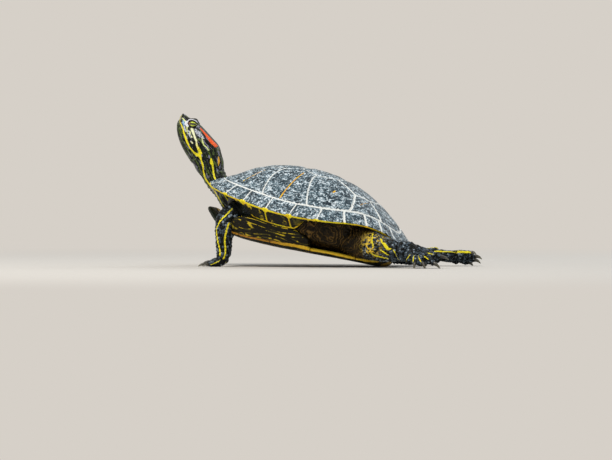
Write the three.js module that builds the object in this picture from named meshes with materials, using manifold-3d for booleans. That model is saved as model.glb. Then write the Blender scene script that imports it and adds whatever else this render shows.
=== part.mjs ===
// Red-eared slider turtle, life size, millimetres, +Z up.
// The head points to -X, the tail to +X and the turtle's left side to -Y.
import * as THREE from 'three';
import Module from 'manifold-3d';

const wasm = await Module();
wasm.setup();

// ---------------------------------------------------------------- driving sizes
const SHELL_LENGTH = 200;
const SHELL_WIDTH = 141;
const DOME_HEIGHT = 41.4;
const DOME_POWER = 2.2;
const SHELL_PITCH = 13.9;
const SHELL_ROLL = 5.4;
const SHELL_CENTRE_HEIGHT = 47.6;
const PLATE_THICKNESS = 3.2;
const SEAM = 0.34;
const RIM_START = 0.88;
const TRUNK_REACH = 0.8;
const PLASTRON_THICKNESS = 5;
const HEAD_RAISE = 63;
const HEAD_TURN = 10.5;
const EYE_RADIUS = 4.7;
const HEAD_SIDES = 12;
const LIMB_SIDES = 8;

const rad = THREE.MathUtils.degToRad;
const bump = (v, at, wide) => Math.exp(-(((v - at) / wide) ** 2));
const mix = (a, b, t) => a + (b - a) * t;
const step = (a, b, v) => THREE.MathUtils.smoothstep(v, a, b);
const vec = (x, y, z) => new THREE.Vector3(x, y, z);

// Piecewise smooth curve through a short named table of [position, value] pairs.
function curve(table) {
  return (at) => {
    const last = table.length - 1;
    if (at <= table[0][0]) {
      return table[0][1];
    }
    if (at >= table[last][0]) {
      return table[last][1];
    }
    let i = 0;
    while (table[i + 1][0] < at) {
      i += 1;
    }
    const slope = (j) => {
      const a = Math.max(j - 1, 0);
      const b = Math.min(j + 1, last);
      return (table[b][1] - table[a][1]) / (table[b][0] - table[a][0]);
    };
    const span = table[i + 1][0] - table[i][0];
    const t = (at - table[i][0]) / span;
    const h0 = (1 + 2 * t) * (1 - t) ** 2;
    const h1 = t * (1 - t) ** 2;
    const h2 = t * t * (3 - 2 * t);
    const h3 = t * t * (t - 1);
    return h0 * table[i][1] + h1 * span * slope(i) + h2 * table[i + 1][1] + h3 * span * slope(i + 1);
  };
}

// ---------------------------------------------------------------- solids from rings
// Rings of equal point counts make one closed body; both ends are closed by a fan.
function solid(rings, transform) {
  const count = rings[0].length;
  const points = rings.flat().map((p) => p.clone());
  const middle = (ring) => ring.reduce((sum, p) => sum.add(p), vec(0, 0, 0)).divideScalar(count);
  points.push(middle(rings[0]), middle(rings[rings.length - 1]));
  if (transform) {
    points.forEach((p) => p.applyMatrix4(transform));
  }
  const triangles = [];
  for (let r = 0; r + 1 < rings.length; r += 1) {
    for (let i = 0; i < count; i += 1) {
      const a = r * count + i;
      const b = r * count + ((i + 1) % count);
      triangles.push(a, b, b + count, a, b + count, a + count);
    }
  }
  const top = (rings.length - 1) * count;
  for (let i = 0; i < count; i += 1) {
    const j = (i + 1) % count;
    triangles.push(points.length - 2, j, i);
    triangles.push(points.length - 1, top + i, top + j);
  }
  let volume = 0;
  for (let i = 0; i < triangles.length; i += 3) {
    const [a, b, c] = [triangles[i], triangles[i + 1], triangles[i + 2]].map((n) => points[n]);
    volume += a.dot(b.clone().cross(c));
  }
  if (volume < 0) {
    for (let i = 0; i < triangles.length; i += 3) {
      [triangles[i], triangles[i + 1]] = [triangles[i + 1], triangles[i]];
    }
  }
  return new wasm.Manifold(new wasm.Mesh({
    numProp: 3,
    vertProperties: new Float32Array(points.flatMap((p) => [p.x, p.y, p.z])),
    triVerts: new Uint32Array(triangles),
  }));
}

// A bent tube through stations [x, y, z, wide half-size, thin half-size].
function tube(stations, wide, sides, transform) {
  const centres = stations.map((s) => vec(s[0], s[1], s[2]));
  const rings = stations.map((s, i) => {
    const before = centres[Math.max(i - 1, 0)];
    const after = centres[Math.min(i + 1, centres.length - 1)];
    const along = after.clone().sub(before).normalize();
    const u = wide.clone().addScaledVector(along, -wide.dot(along)).normalize();
    const v = along.clone().cross(u);
    return Array.from({ length: sides }, (_, k) => {
      const a = (2 * Math.PI * (k + 0.5)) / sides;
      const across = u.clone().multiplyScalar(s[3] * Math.cos(a));
      return centres[i].clone().add(across).addScaledVector(v, s[4] * Math.sin(a));
    });
  });
  return solid(rings, transform);
}

// Stations placed evenly along a smooth path, so bends stay round.
function smooth(stations, count) {
  const path = new THREE.CatmullRomCurve3(stations.map((s) => vec(s[0], s[1], s[2])));
  const last = stations.length - 1;
  return Array.from({ length: count + 1 }, (_, k) => {
    const t = k / count;
    const p = path.getPoint(t);
    const i = Math.min(Math.floor(t * last), last - 1);
    const f = t * last - i;
    const s = f * f * (3 - 2 * f);
    const [wide, thin] = [3, 4].map((size) => mix(stations[i][size], stations[i + 1][size], s));
    return [p.x, p.y, p.z, wide, thin];
  });
}

const grow = (stations, by) => stations.map((s) => [s[0], s[1], s[2], s[3] + by, s[4] + by]);

// Everything on the far side of a plane through a point, as one large block.
function beyond(point, normal, transform) {
  const n = normal.clone().normalize();
  const side = Math.abs(n.z) < 0.9 ? vec(0, 0, 1) : vec(1, 0, 0);
  const u = side.clone().cross(n).normalize();
  const v = n.clone().cross(u);
  const corner = (a, b, c) => point.clone().addScaledVector(u, a * 300).addScaledVector(v, b * 300)
    .addScaledVector(n, c);
  const ring = (c) => [corner(-1, -1, c), corner(1, -1, c), corner(1, 1, c), corner(-1, 1, c)];
  return solid([ring(0), ring(400)], transform);
}

const floor = beyond(vec(0, 0, 0), vec(0, 0, -1));

// ---------------------------------------------------------------- shell surfaces
const toWorld = new THREE.Matrix4().makeTranslation(0, 0, SHELL_CENTRE_HEIGHT)
  .multiply(new THREE.Matrix4().makeRotationY(rad(SHELL_PITCH)))
  .multiply(new THREE.Matrix4().makeRotationX(rad(-SHELL_ROLL)));

// phi is 0 at the nape and PI at the tail; q runs from 0 at the crown to 1 at the rim.
function outline(phi) {
  const power = mix(2.2, 1.95, step(1.2, 2, phi));
  const x = Math.abs(Math.cos(phi)) / (SHELL_LENGTH / 2);
  const y = Math.abs(Math.sin(phi)) / (SHELL_WIDTH / 2);
  const notch = 1 - 0.02 * bump(phi, 0, 0.12) - 0.034 * bump(phi, 0, 0.42) - 0.02 * bump(phi, Math.PI, 0.06);
  return notch * (x ** power + y ** power) ** (-1 / power);
}

function rimHeight(phi) {
  return 8 * bump(phi, 0, 0.48) - 4.7 * bump(phi, 1.45, 0.64)
    + 4.55 * bump(phi, 2.55, 0.35) - 7 * bump(phi, Math.PI, 0.3);
}

const napeDip = (q, phi) => 3.4 * bump(q, 0.78, 0.15) * bump(phi, 0, 0.5);
const domeHeight = (q, phi) => mix(rimHeight(phi), DOME_HEIGHT, 1 - q ** DOME_POWER) - napeDip(q, phi);
const bridgeWrap = (phi) => step(0.75, 1.05, phi) * (1 - step(1.7, 2, phi));

function shellPoint(q, turn, height) {
  const phi = Math.abs(turn);
  const r = outline(phi) * q;
  return vec(-r * Math.cos(turn), r * Math.sin(turn), height(q, phi));
}

const TURN_COUNT = 22;
const TURNS = Array.from(
  { length: TURN_COUNT },
  (_, i) => (Math.PI * (2 * i - TURN_COUNT + 1)) / TURN_COUNT,
);
const ring = (q, height) => TURNS.map((turn) => shellPoint(q, turn, height));

function underRim(extra) {
  return (q, phi) => {
    const thin = domeHeight(Math.min(q, 0.97), phi) - PLATE_THICKNESS - 6.5 * step(0.93, 1, q);
    const thick = rimHeight(phi) - 3 - 9.5 * Math.min((1 - q) / 0.15, 1);
    return mix(Math.max(thin, rimHeight(phi) - 2.4), thick, bridgeWrap(phi)) - extra;
  };
}

// The whole carapace as one thick bowl; plates are cut from it along the seams.
function bowl(extra) {
  const above = (q, phi) => domeHeight(q, phi) + extra;
  const below = (q, phi) => domeHeight(q, phi) - PLATE_THICKNESS - extra;
  const edge = (q, phi) => rimHeight(phi) - 1.6 - extra;
  const outer = [0.17, 0.42, 0.64, 0.84].map((q) => ring(q, above));
  const lip = [ring(1 + extra / 90, (q, phi) => rimHeight(phi) + extra), ring(1 + extra / 90, edge)];
  const under = [0.95, 0.85].map((q) => ring(q, underRim(extra)));
  const inner = [0.838 - extra / 90, 0.62, 0.4, 0.16].map((q) => ring(q, below));
  return solid([...outer, ...lip, ...under, ...inner], toWorld);
}

// ---------------------------------------------------------------- shell plates
// Seam corners in plan; vertebral plates are six-sided with side corners at the costal seams.
const vertebralEnds = [[-52, 15], [-12, 15.5], [25, 17], [59, 15]];
const vertebralSides = [[-26, 22], [6, 25], [43, 27.5]];
const rimAngle = (x, y) => Math.atan2(Math.abs(y), -x);
const onRim = (phi, q = RIM_START) => [-q * outline(phi) * Math.cos(phi), q * outline(phi) * Math.sin(phi)];
const costalRim = [0.28, 1.1, 1.81, 2.39, 2.8];

function arc(from, to, q = RIM_START) {
  const pieces = Math.ceil((to - from) / 0.15);
  return Array.from({ length: pieces + 1 }, (_, i) => onRim(mix(from, to, i / pieces), q));
}

// Upright prism over a plan outline, drawn in by half a seam on every side.
function prism(outlinePoints, inset = SEAM / 2) {
  const pts = outlinePoints.map((p) => new THREE.Vector2(p[0], p[1]));
  if (THREE.ShapeUtils.isClockWise(pts)) {
    pts.reverse();
  }
  const n = pts.length;
  const leftOf = (d) => new THREE.Vector2(-d.y, d.x);
  const inner = pts.map((p, i) => {
    const before = leftOf(p.clone().sub(pts[(i + n - 1) % n]).normalize());
    const after = leftOf(pts[(i + 1) % n].clone().sub(p).normalize());
    const bisector = before.clone().add(after).normalize();
    return p.clone().addScaledVector(bisector, inset / Math.max(bisector.dot(after), 0.4));
  });
  const triangles = [];
  THREE.ShapeUtils.triangulateShape(inner, []).forEach((face) => {
    const [a, b, c] = face.map((k) => inner[k]);
    const turn = (b.x - a.x) * (c.y - a.y) - (b.y - a.y) * (c.x - a.x);
    const [i, j, k] = turn > 0 ? face : [face[2], face[1], face[0]];
    triangles.push(k, j, i, n + i, n + j, n + k);
  });
  for (let i = 0; i < n; i += 1) {
    const j = (i + 1) % n;
    triangles.push(i, j, n + j, i, n + j, n + i);
  }
  const points = [-80, 80].flatMap((z) => inner.map((p) => vec(p.x, p.y, z).applyMatrix4(toWorld)));
  return new wasm.Manifold(new wasm.Mesh({
    numProp: 3,
    vertProperties: new Float32Array(points.flatMap((p) => [p.x, p.y, p.z])),
    triVerts: new Uint32Array(triangles),
  }));
}

const mirrorPlan = (points) => points.map(([x, y]) => [x, -y]);
const right = { name: 'right', plan: (points) => points };
const left = { name: 'left', plan: mirrorPlan };
const plans = {};

// Middle plates are drawn for one side and mirrored over the midline.
const bothSides = (points) => {
  const mirrored = mirrorPlan(points.filter((p) => Math.abs(p[1]) > 0.01)).reverse();
  return [...points, ...mirrored];
};
plans.vertebral_1 = bothSides([...arc(0, costalRim[0]), vertebralEnds[0]]);
for (let i = 0; i < 3; i += 1) {
  plans[`vertebral_${i + 2}`] = bothSides([vertebralEnds[i], vertebralSides[i], vertebralEnds[i + 1]]);
}
const tailEdge = arc(costalRim[4], Math.PI);
tailEdge[tailEdge.length - 1][1] = 0;
plans.vertebral_5 = bothSides([vertebralEnds[3], ...tailEdge]);
for (const side of [right, left]) {
  for (let i = 0; i < 4; i += 1) {
    const top = [
      [vertebralSides[0], vertebralEnds[0]],
      [vertebralSides[1], vertebralEnds[1], vertebralSides[0]],
      [vertebralSides[2], vertebralEnds[2], vertebralSides[1]],
      [vertebralEnds[3], vertebralSides[2]],
    ][i];
    plans[`costal_${side.name}_${i + 1}`] = side.plan([...arc(costalRim[i], costalRim[i + 1]), ...top]);
  }
}

// Edge plates in runs of four, three and five, between the openings for the neck, legs and tail.
const edgeCuts = { front: [0.1, 0.95], bridge: [0.95, 2.01], rear: [2.01, Math.PI] };
for (const side of [right, left]) {
  for (const [name, [from, to]] of Object.entries(edgeCuts)) {
    const beyondRim = [0.25, 0.5, 0.75].map((share) => onRim(mix(from, to, share), 1.2));
    const outside = [onRim(from, 1.06), ...beyondRim, onRim(to, 1.06)];
    const stops = [from, ...costalRim.filter((c) => c > from && c < to), to];
    const inside = stops.slice(1).flatMap((stop, i) => arc(stops[i], stop, RIM_START).slice(i ? 1 : 0));
    inside.reverse();
    plans[`marginals_${side.name}_${name}`] = side.plan([...outside, ...inside]);
  }
}
plans.nuchal = bothSides([onRim(0, 1.06), onRim(0.1, 1.06), onRim(0.1), onRim(0)]);

const wholeBowl = bowl(0);
const plates = {};
for (const [name, points] of Object.entries(plans)) {
  plates[name] = wholeBowl.intersect(prism(points));
}

// ---------------------------------------------------------------- plastron
const plastronWidth = curve([
  [-94, 9], [-91, 17], [-84, 24], [-72, 32], [-56, 40], [-40, 44], [0, 45], [30, 44],
  [50, 41], [66, 34], [78, 25], [84, 17], [87, 10],
]);
const plastronLevel = curve([
  [-94, -18.5], [-86, -24], [-79, -28.6], [-66, -34], [-54, -36.8], [-38, -37.3], [0, -34.8],
  [38, -32], [77, -29.4], [84, -26.5], [87, -24.5],
]);

function plastron(extra) {
  const xs = [-94, -91, -84, -72, -54, -36, 4, 34, 54, 70, 80, 87];
  const plate = solid(xs.map((x, i) => {
    const w = plastronWidth(x) + extra;
    const z = plastronLevel(x);
    const end = i === 0 || i === xs.length - 1 ? 0.45 : 1;
    const t = PLASTRON_THICKNESS * end;
    const at = x + (i === 0 ? -extra : 0) + (i === xs.length - 1 ? extra : 0);
    const half = [[0.3, -1], [0.82, -0.93], [1, -0.2], [0.88, 0.88], [0.2, 1]];
    const oneSide = half.map(([a, b]) => vec(at, w * a, z + (t / 2) * (1 + b) + extra * b));
    const otherSide = oneSide.map((p) => vec(p.x, -p.y, p.z)).reverse();
    return [...oneSide, ...otherSide];
  }), toWorld);
  const bridge = (side) => solid([-56, -47, -36, 2, 12, 21].map((x, i) => {
    const z = plastronLevel(x);
    const e = [0.3, 0.75, 1, 1, 0.8, 0.3][i];
    const at = x + (i === 0 ? -extra : 0) + (i === 5 ? extra : 0);
    const rim = -17 - 9 * (1 - e) - extra * 0.2;
    return [
      vec(at, side * 34, z + 0.5 - extra), vec(at, side * 42, z + 0.9 - extra),
      vec(at, side * (42 + 9 * e + extra), z + 6 - extra), vec(at, side * (44 + 15 * e + extra), rim),
      vec(at, side * (39 + 15 * e), rim + 2.5 + extra), vec(at, side * (36 + 9 * e - extra), z + 11 + extra),
      vec(at, side * 34, z + 5 + extra),
    ];
  }), toWorld);
  return plate.add(bridge(1)).add(bridge(-1));
}

// ---------------------------------------------------------------- trunk
function trunk(extra) {
  const reach = (phi) => TRUNK_REACH + 0.03 * bridgeWrap(phi) - 0.06 * bump(phi, 2.2, 0.35);
  const under = (q, phi) => domeHeight(q, phi) - PLATE_THICKNESS - 1.3 + extra;
  const pointAt = (k, height) => TURNS.filter((_, i) => i % 2 === 0).map((turn) => {
    const q = reach(Math.abs(turn)) * k;
    return shellPoint(q + (k > 0.9 ? extra / 80 : 0), turn, height);
  });
  const top = [0.2, 0.5, 0.775, 0.97].map((k) => pointAt(k, under));
  const side = [
    pointAt(1, (q, phi) => mix(rimHeight(phi), under(q, phi), 0.35)),
    pointAt(0.99, (q, phi) => mix(rimHeight(phi) - 9, -26, 0.2)),
    pointAt(0.9, () => -22 - extra),
  ];
  const bottom = [0.6, 0.12].map((k) => pointAt(k, () => -27 - extra));
  return solid([...top, ...side, ...bottom], toWorld);
}

// ---------------------------------------------------------------- neck and head
const headBase = vec(-110.6, 16, 103.4);
const headAxis = vec(
  -Math.cos(rad(HEAD_RAISE)) * Math.cos(rad(HEAD_TURN)),
  -Math.cos(rad(HEAD_RAISE)) * Math.sin(rad(HEAD_TURN)),
  Math.sin(rad(HEAD_RAISE)),
);
const headSide = vec(Math.sin(rad(HEAD_TURN)), -Math.cos(rad(HEAD_TURN)), 0);
const headCrown = headSide.clone().cross(headAxis).negate();
const headFrame = new THREE.Matrix4().makeBasis(headAxis, headSide, headCrown).setPosition(headBase);

// Levels of crown and throat and half-width of the cheeks, by distance from nape to snout.
const crownLine = curve([
  [-6, 17.2], [2, 17], [9, 15.5], [16, 13.6], [24, 11.2], [30, 8.8], [34, 5.8], [37, 4], [41, 2],
]);
const throatLine = curve([
  [-6, -12], [3, -13], [12, -13.6], [20, -13.3], [27, -12], [33, -9.7], [37, -6.8], [39.5, -2.8], [41, 0.2],
]);
const cheekLine = curve([
  [-6, 12], [2, 14.6], [10, 15.4], [17, 14.2], [24, 11.4], [31, 8.9], [37, 6.2], [41, 3.2],
]);

function headSolid() {
  const ts = [-3, 6, 14, 22, 29.5, 36, 39.6, 41.3];
  return solid(ts.map((t, i) => {
    const shrink = i === ts.length - 1 ? 0.55 : 1;
    const middle = (crownLine(t) + throatLine(t)) / 2;
    const tall = ((crownLine(t) - throatLine(t)) / 2) * shrink;
    const wide = cheekLine(t) * shrink;
    return Array.from({ length: HEAD_SIDES }, (_, k) => {
      const a = (2 * Math.PI * (k + 0.5)) / HEAD_SIDES;
      const flat = 0.88;
      const c = Math.sign(Math.cos(a)) * Math.abs(Math.cos(a)) ** flat;
      const s = Math.sign(Math.sin(a)) * Math.abs(Math.sin(a)) ** flat;
      const narrow = s > 0 ? 1 - 0.16 * s : 1 + 0.1 * s;
      return vec(t, wide * c * narrow, middle + tall * s);
    });
  }), headFrame);
}

function ball(centre, size, rows, sides, transform) {
  return solid(Array.from({ length: rows }, (_, i) => {
    const a = (Math.PI * (i + 0.5)) / rows - Math.PI / 2;
    return Array.from({ length: sides }, (_, k) => {
      const b = (2 * Math.PI * k) / sides;
      return vec(
        centre.x + size.x * Math.cos(a) * Math.cos(b),
        centre.y + size.y * Math.sin(a),
        centre.z + size.z * Math.cos(a) * Math.sin(b),
      );
    });
  }), transform);
}

const eyeAt = (side) => vec(28.4, side * 6.4, 6);
const eyeSize = (extra) => vec(EYE_RADIUS + extra, EYE_RADIUS * 0.92 + extra, EYE_RADIUS + extra);
const lidSize = vec(5.4, 3.9, 6);

// ---------------------------------------------------------------- limbs
// A foot is a palm, toes fanned in its own plane, webs between them and claws bent down.
function foot(spec) {
  const frame = new THREE.Matrix4().makeBasis(spec.ahead, spec.across, spec.up).setPosition(spec.at);
  let body = tube(spec.palm, vec(0, 1, 0), 8, frame);
  const tips = spec.toes.map((toe) => {
    const a = rad(toe.turn);
    const out = (d, z) => [spec.root + d * Math.cos(a), d * Math.sin(a), z];
    const n = toe.length;
    const r = toe.radius;
    const c = toe.claw;
    const digit = [
      [...out(2, 0.3), r, r], [...out(n * 0.6, toe.arch), r * 0.9, r * 0.9],
      [...out(n * 0.97, 0), r * 0.72, r * 0.7],
    ];
    const horn = [
      [...out(n * 0.97 + 0.4, 0.2), r * 0.46, r * 0.5], [...out(n * 0.97 + c * 0.5, 0.1), r * 0.38, r * 0.42],
      [...out(n * 0.97 + c, -r * 0.7), r * 0.1, r * 0.1],
    ];
    const sideways = vec(-Math.sin(a), Math.cos(a), 0);
    body = body.add(tube(c > 0 ? [...digit, ...horn] : digit, sideways, 5, frame));
    return { a, n };
  });
  const edge = [vec(spec.root - 2, 0, 0), ...tips.map(({ a, n }) => {
    const reach = spec.web * n;
    return vec(spec.root + reach * Math.cos(a), reach * Math.sin(a), 0);
  })];
  const face = (z) => edge.map((p) => vec(p.x, p.y, z));
  body = body.add(solid([face(-0.8), face(0.8)], frame));
  return body;
}

// A limb is one tube, parted by planes into its named lengths, plus its foot.
function limb(name, stations, wide, count, cuts, footSpec) {
  const even = smooth(stations, count);
  const body = tube(even, wide, LIMB_SIDES);
  const paw = foot(footSpec);
  const out = {};
  const at = (t) => {
    const i = Math.min(Math.floor(t * count), count - 1);
    const f = t * count - i;
    const [a, b] = [even[i], even[i + 1]];
    return {
      point: vec(mix(a[0], b[0], f), mix(a[1], b[1], f), mix(a[2], b[2], f)),
      along: vec(b[0] - a[0], b[1] - a[1], b[2] - a[2]).normalize(),
    };
  };
  const joint = at(cuts[0]);
  const ankle = at(cuts[1]);
  const part = (cut, sign) => beyond(
    cut.point.clone().addScaledVector(cut.along, (sign * SEAM) / 2),
    cut.along.clone().multiplyScalar(sign),
  );
  out[`${name}_${footSpec.words[0]}`] = body.intersect(part(joint, -1));
  out[`${name}_${footSpec.words[1]}`] = body.intersect(part(joint, 1)).intersect(part(ankle, -1));
  out[`${name}_${footSpec.words[2]}`] = body.add(paw).intersect(part(ankle, 1));
  return out;
}

const handToes = [-44, -22, 0, 22, 44].map((turn, i) => ({
  turn,
  length: [10, 11.5, 12, 11.5, 10][i],
  radius: [2.1, 2.3, 2.4, 2.3, 2.1][i],
  claw: [6, 7, 7.4, 7, 6][i],
  arch: 1.2,
}));
const handPalm = [[-3, 0, 2.8, 5, 3.6], [1, 0, 2.3, 7, 4.2], [5, 0, 1.6, 8.4, 3.5], [10, 0, 0.9, 8, 2.8]];

function hand(at, turn, side) {
  const ahead = vec(-Math.cos(rad(turn)), side * Math.sin(rad(turn)), 0);
  return {
    words: ['upper_arm', 'forearm', 'hand'],
    at: vec(at[0], at[1], 1.5),
    ahead,
    across: vec(0, 0, 1).cross(ahead),
    up: vec(0, 0, 1),
    palm: handPalm,
    root: 2,
    toes: handToes,
    web: 0.62,
  };
}

const hindPalm = [[-8, 0, 0.4, 6, 5], [0, 1, 0.3, 8.5, 4.6], [7, 3, 0, 10.5, 3.8], [14, 4.5, 0, 10.5, 2.4]];
const frontLeft = limb('left', [
  [-46, -24, 54, 12, 11], [-57, -36, 51.5, 11, 10.2], [-65.4, -42, 43, 10.4, 9.4], [-67.6, -44, 33, 8.8, 7.6],
  [-68.6, -45, 24, 7, 6.2], [-68.4, -45.5, 11, 6.2, 5.6], [-70, -46, 6.6, 5.2, 4.2],
], vec(1, 0, 0.2), 9, [0.45, 0.83], hand([-71, -46.4], 4, -1));
const frontRight = limb('right', [
  [-61, 24, 55, 12, 11], [-76, 36, 52, 11, 10.2], [-89, 42, 43, 9.6, 9], [-95.6, 44, 33, 8.4, 7.6],
  [-98, 44.5, 24, 6.8, 6.2], [-98, 45, 11, 6.2, 5.6], [-99.4, 45, 6.6, 5.2, 4.2],
], vec(1, 0, 0.2), 9, [0.45, 0.83], hand([-99.6, 45.4], 4, 1));

const hindToes = (spans) => spans.map(([turn, length, claw], i) => ({
  turn,
  length,
  radius: [2.8, 3.2, 3.2, 3, 2.5][i],
  claw,
  arch: 0.8,
}));

function hindFoot(at, pitch, side, tilt, toes) {
  const ahead = vec(Math.cos(rad(pitch)), 0, -Math.sin(rad(pitch)));
  const outward = vec(0, side, 0);
  const down = outward.clone().cross(ahead).multiplyScalar(side);
  const across = outward.multiplyScalar(Math.cos(rad(tilt))).addScaledVector(down, Math.sin(rad(tilt)));
  across.addScaledVector(ahead, -across.dot(ahead)).normalize();
  return {
    words: ['thigh', 'shank', 'foot'],
    at,
    ahead,
    across,
    up: ahead.clone().cross(across).multiplyScalar(side),
    palm: hindPalm,
    root: 3,
    toes: hindToes(toes),
    web: 0.8,
  };
}

// Place, pitch, side, tilt, then the turn, length and claw of each toe.
const leftHindFoot = hindFoot(vec(119, -52, 15.6), 14, -1, 40, [
  [-4, 23, 8], [24, 23, 8.5], [50, 17.5, 7.5], [76, 16.5, 6.8], [102, 17, 0],
]);
const rightHindFoot = hindFoot(vec(112, 47, 10), -1, 1, 27, [
  [-6, 29, 6], [10, 31, 7], [25, 30, 7], [42, 27, 6], [62, 20, 0],
]);
const hindLeft = limb('left', [
  [50, -28, 24, 15, 13], [67, -37, 21.6, 14, 12.5], [84, -45, 17.6, 12, 10.5], [97, -49, 15.8, 10.4, 8.6],
  [109, -51, 15.2, 9.4, 7], [117, -52, 15.4, 8.6, 5.6],
], vec(0, 0.2, 1), 7, [0.5, 0.84], leftHindFoot);
const hindRight = limb('right', [
  [50, 26, 22, 14, 13], [68, 36, 14.4, 12, 12], [84, 42, 9.2, 8.4, 9], [96, 45, 8.4, 7.8, 7.8],
  [105, 46.4, 9.2, 7.6, 6.6], [110, 47, 10, 7.4, 5.8],
], vec(0, 0.2, 1), 7, [0.5, 0.84], rightHindFoot);

// ---------------------------------------------------------------- assemble the flesh
const grownTrunk = trunk(SEAM + 0.1);
const grownBowl = bowl(SEAM * 1.8);
const grownPlastron = plastron(SEAM * 1.4);
const clear = (body) => body.subtract(grownTrunk).subtract(grownBowl).subtract(grownPlastron);

const neckPath = smooth([
  [-58, 3, 46.6, 17, 14.4], [-73.6, 7, 55, 16, 10.8], [-87.4, 12.2, 67.8, 13.4, 8.4],
  [-98, 15.2, 82.7, 12.4, 10.5], [-103.2, 16, 94.2, 13.7, 13.5], [-107.8, 16.2, 104.1, 14.4, 14.8],
  [-111.4, 15.7, 109.4, 14, 14.2],
], 7);
const neckEnd = headBase.clone().addScaledVector(headAxis, -SEAM);
const belowHead = beyond(neckEnd, headAxis.clone().negate());
const neck = clear(tube(neckPath, headSide, HEAD_SIDES).intersect(belowHead));
const neckRoom = tube(grow(neckPath, SEAM), headSide, HEAD_SIDES);
const headBody = headSolid().intersect(beyond(headBase, headAxis));
let head = headBody;
for (const side of [1, -1]) {
  head = head.add(ball(eyeAt(side), lidSize, 4, 8, headFrame));
}
for (const side of [1, -1]) {
  head = head.subtract(ball(eyeAt(side), eyeSize(SEAM), 5, 10, headFrame));
  head = head.subtract(tube([
    [28.4, side * 8, 6, 4.2, 2.2], [28.4, side * 13, 6.6, 5.2, 3.2],
  ], vec(-0.45, 0, 0.89), 6, headFrame));
}
// The lower jaw is everything in front of the mouth's corner and under the line of the beak.
const MOUTH_CORNER = 22;
const beakLine = (t) => -6.6 + 0.155 * (t - 20);
const underBeak = (grown) => solid([MOUTH_CORNER - grown, 46].map((t) => [
  vec(t, -20, -30), vec(t, 20, -30), vec(t, 20, beakLine(t) + grown), vec(t, -20, beakLine(t) + grown),
]), headFrame);
const jaw = headBody.intersect(underBeak(0));
head = head.subtract(underBeak(SEAM));

const tailPath = smooth([
  [66, 0, 22, 10, 9], [84, -1, 17, 8, 7.4], [99, -5, 9.5, 5.4, 5], [112, -13, 4.4, 3.2, 3.1],
  [120, -21, 2.2, 1.5, 1.6],
], 6);
const tail = clear(tube(tailPath, vec(0, 1, 0), LIMB_SIDES));
const tailRoom = tube(grow(tailPath, SEAM), vec(0, 1, 0), LIMB_SIDES);

const flesh = { head, lower_jaw: jaw, neck, tail };
for (const [name, body] of Object.entries({ ...frontLeft, ...frontRight, ...hindLeft, ...hindRight })) {
  flesh[name] = clear(body).subtract(name.includes('arm') ? neckRoom : tailRoom);
}
flesh.trunk = trunk(0).subtract(bowl(SEAM)).subtract(grownPlastron);
flesh.eye_left = ball(eyeAt(1), eyeSize(0), 5, 10, headFrame);
flesh.eye_right = ball(eyeAt(-1), eyeSize(0), 5, 10, headFrame);

// ---------------------------------------------------------------- meshes
const skinPaint = new THREE.MeshStandardMaterial({ color: 0x2c3320, roughness: 0.6 });
const shellPaint = new THREE.MeshStandardMaterial({ color: 0x3a434c, roughness: 0.4 });
const plastronPaint = new THREE.MeshStandardMaterial({ color: 0xb08a2e, roughness: 0.5 });
const eyePaint = new THREE.MeshStandardMaterial({ color: 0x6f8f2a, roughness: 0.1 });
const group = new THREE.Group();
group.name = 'red_eared_slider';

function addNode(name, body, paint) {
  const mesh = body.subtract(floor).getMesh();
  const geometry = new THREE.BufferGeometry();
  geometry.setAttribute('position', new THREE.BufferAttribute(new Float32Array(mesh.vertProperties), 3));
  geometry.setIndex(new THREE.BufferAttribute(new Uint32Array(mesh.triVerts), 1));
  const node = new THREE.Mesh(geometry, paint.clone());
  node.name = name;
  group.add(node);
}

for (const [name, body] of Object.entries(plates)) {
  addNode(name, body, shellPaint);
}
addNode('plastron', plastron(0).subtract(bowl(SEAM)), plastronPaint);
for (const [name, body] of Object.entries(flesh)) {
  addNode(name, body, name.startsWith('eye') ? eyePaint : skinPaint);
}

// The origin is the middle of the model's footprint box, on the floor.
const bounds = new THREE.Box3().setFromObject(group);
const shift = vec(-(bounds.min.x + bounds.max.x) / 2, -(bounds.min.y + bounds.max.y) / 2, -bounds.min.z);
group.children.forEach((node) => {
  node.geometry.translate(shift.x, shift.y, shift.z);
});

export default group;
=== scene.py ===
"""A red-eared slider at life size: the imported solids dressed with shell, skin, scales, eyes and claws."""
from functools import reduce
from math import cos, pi, radians, sin

import bmesh
import bpy
import numpy as np
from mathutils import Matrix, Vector, noise
from mathutils.bvhtree import BVHTree
from mathutils.geometry import delaunay_2d_cdt


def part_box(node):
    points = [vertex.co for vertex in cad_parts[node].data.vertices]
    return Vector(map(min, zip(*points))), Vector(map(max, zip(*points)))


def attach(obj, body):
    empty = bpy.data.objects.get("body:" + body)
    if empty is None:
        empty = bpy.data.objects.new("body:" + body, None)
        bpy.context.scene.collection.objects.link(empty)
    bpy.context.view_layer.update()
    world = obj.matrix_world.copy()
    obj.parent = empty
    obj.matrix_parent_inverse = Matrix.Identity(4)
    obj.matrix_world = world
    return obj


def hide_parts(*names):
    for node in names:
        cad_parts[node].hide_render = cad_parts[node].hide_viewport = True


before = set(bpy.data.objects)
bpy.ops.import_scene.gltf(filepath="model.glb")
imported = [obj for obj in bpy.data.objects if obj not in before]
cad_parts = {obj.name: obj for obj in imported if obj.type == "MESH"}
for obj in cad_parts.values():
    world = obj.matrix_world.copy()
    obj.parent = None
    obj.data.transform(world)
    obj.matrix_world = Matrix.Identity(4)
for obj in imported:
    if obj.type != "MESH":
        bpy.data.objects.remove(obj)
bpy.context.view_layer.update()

# Shapes are drawn in millimetres about the shell's middle, with the head to -X and the left side to -Y.
SHELL_LENGTH = 200.0
SHELL_WIDTH = 141.0
DOME_HEIGHT = 41.4
DOME_POWER = 2.2
SHELL_PITCH = 13.9
SHELL_ROLL = 5.4
SHELL_CENTRE = np.array([0.0, 0.0, 47.6])
PLATE_THICKNESS = 3.2
RIM_START = 0.88
TRUNK_REACH = 0.8
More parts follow.
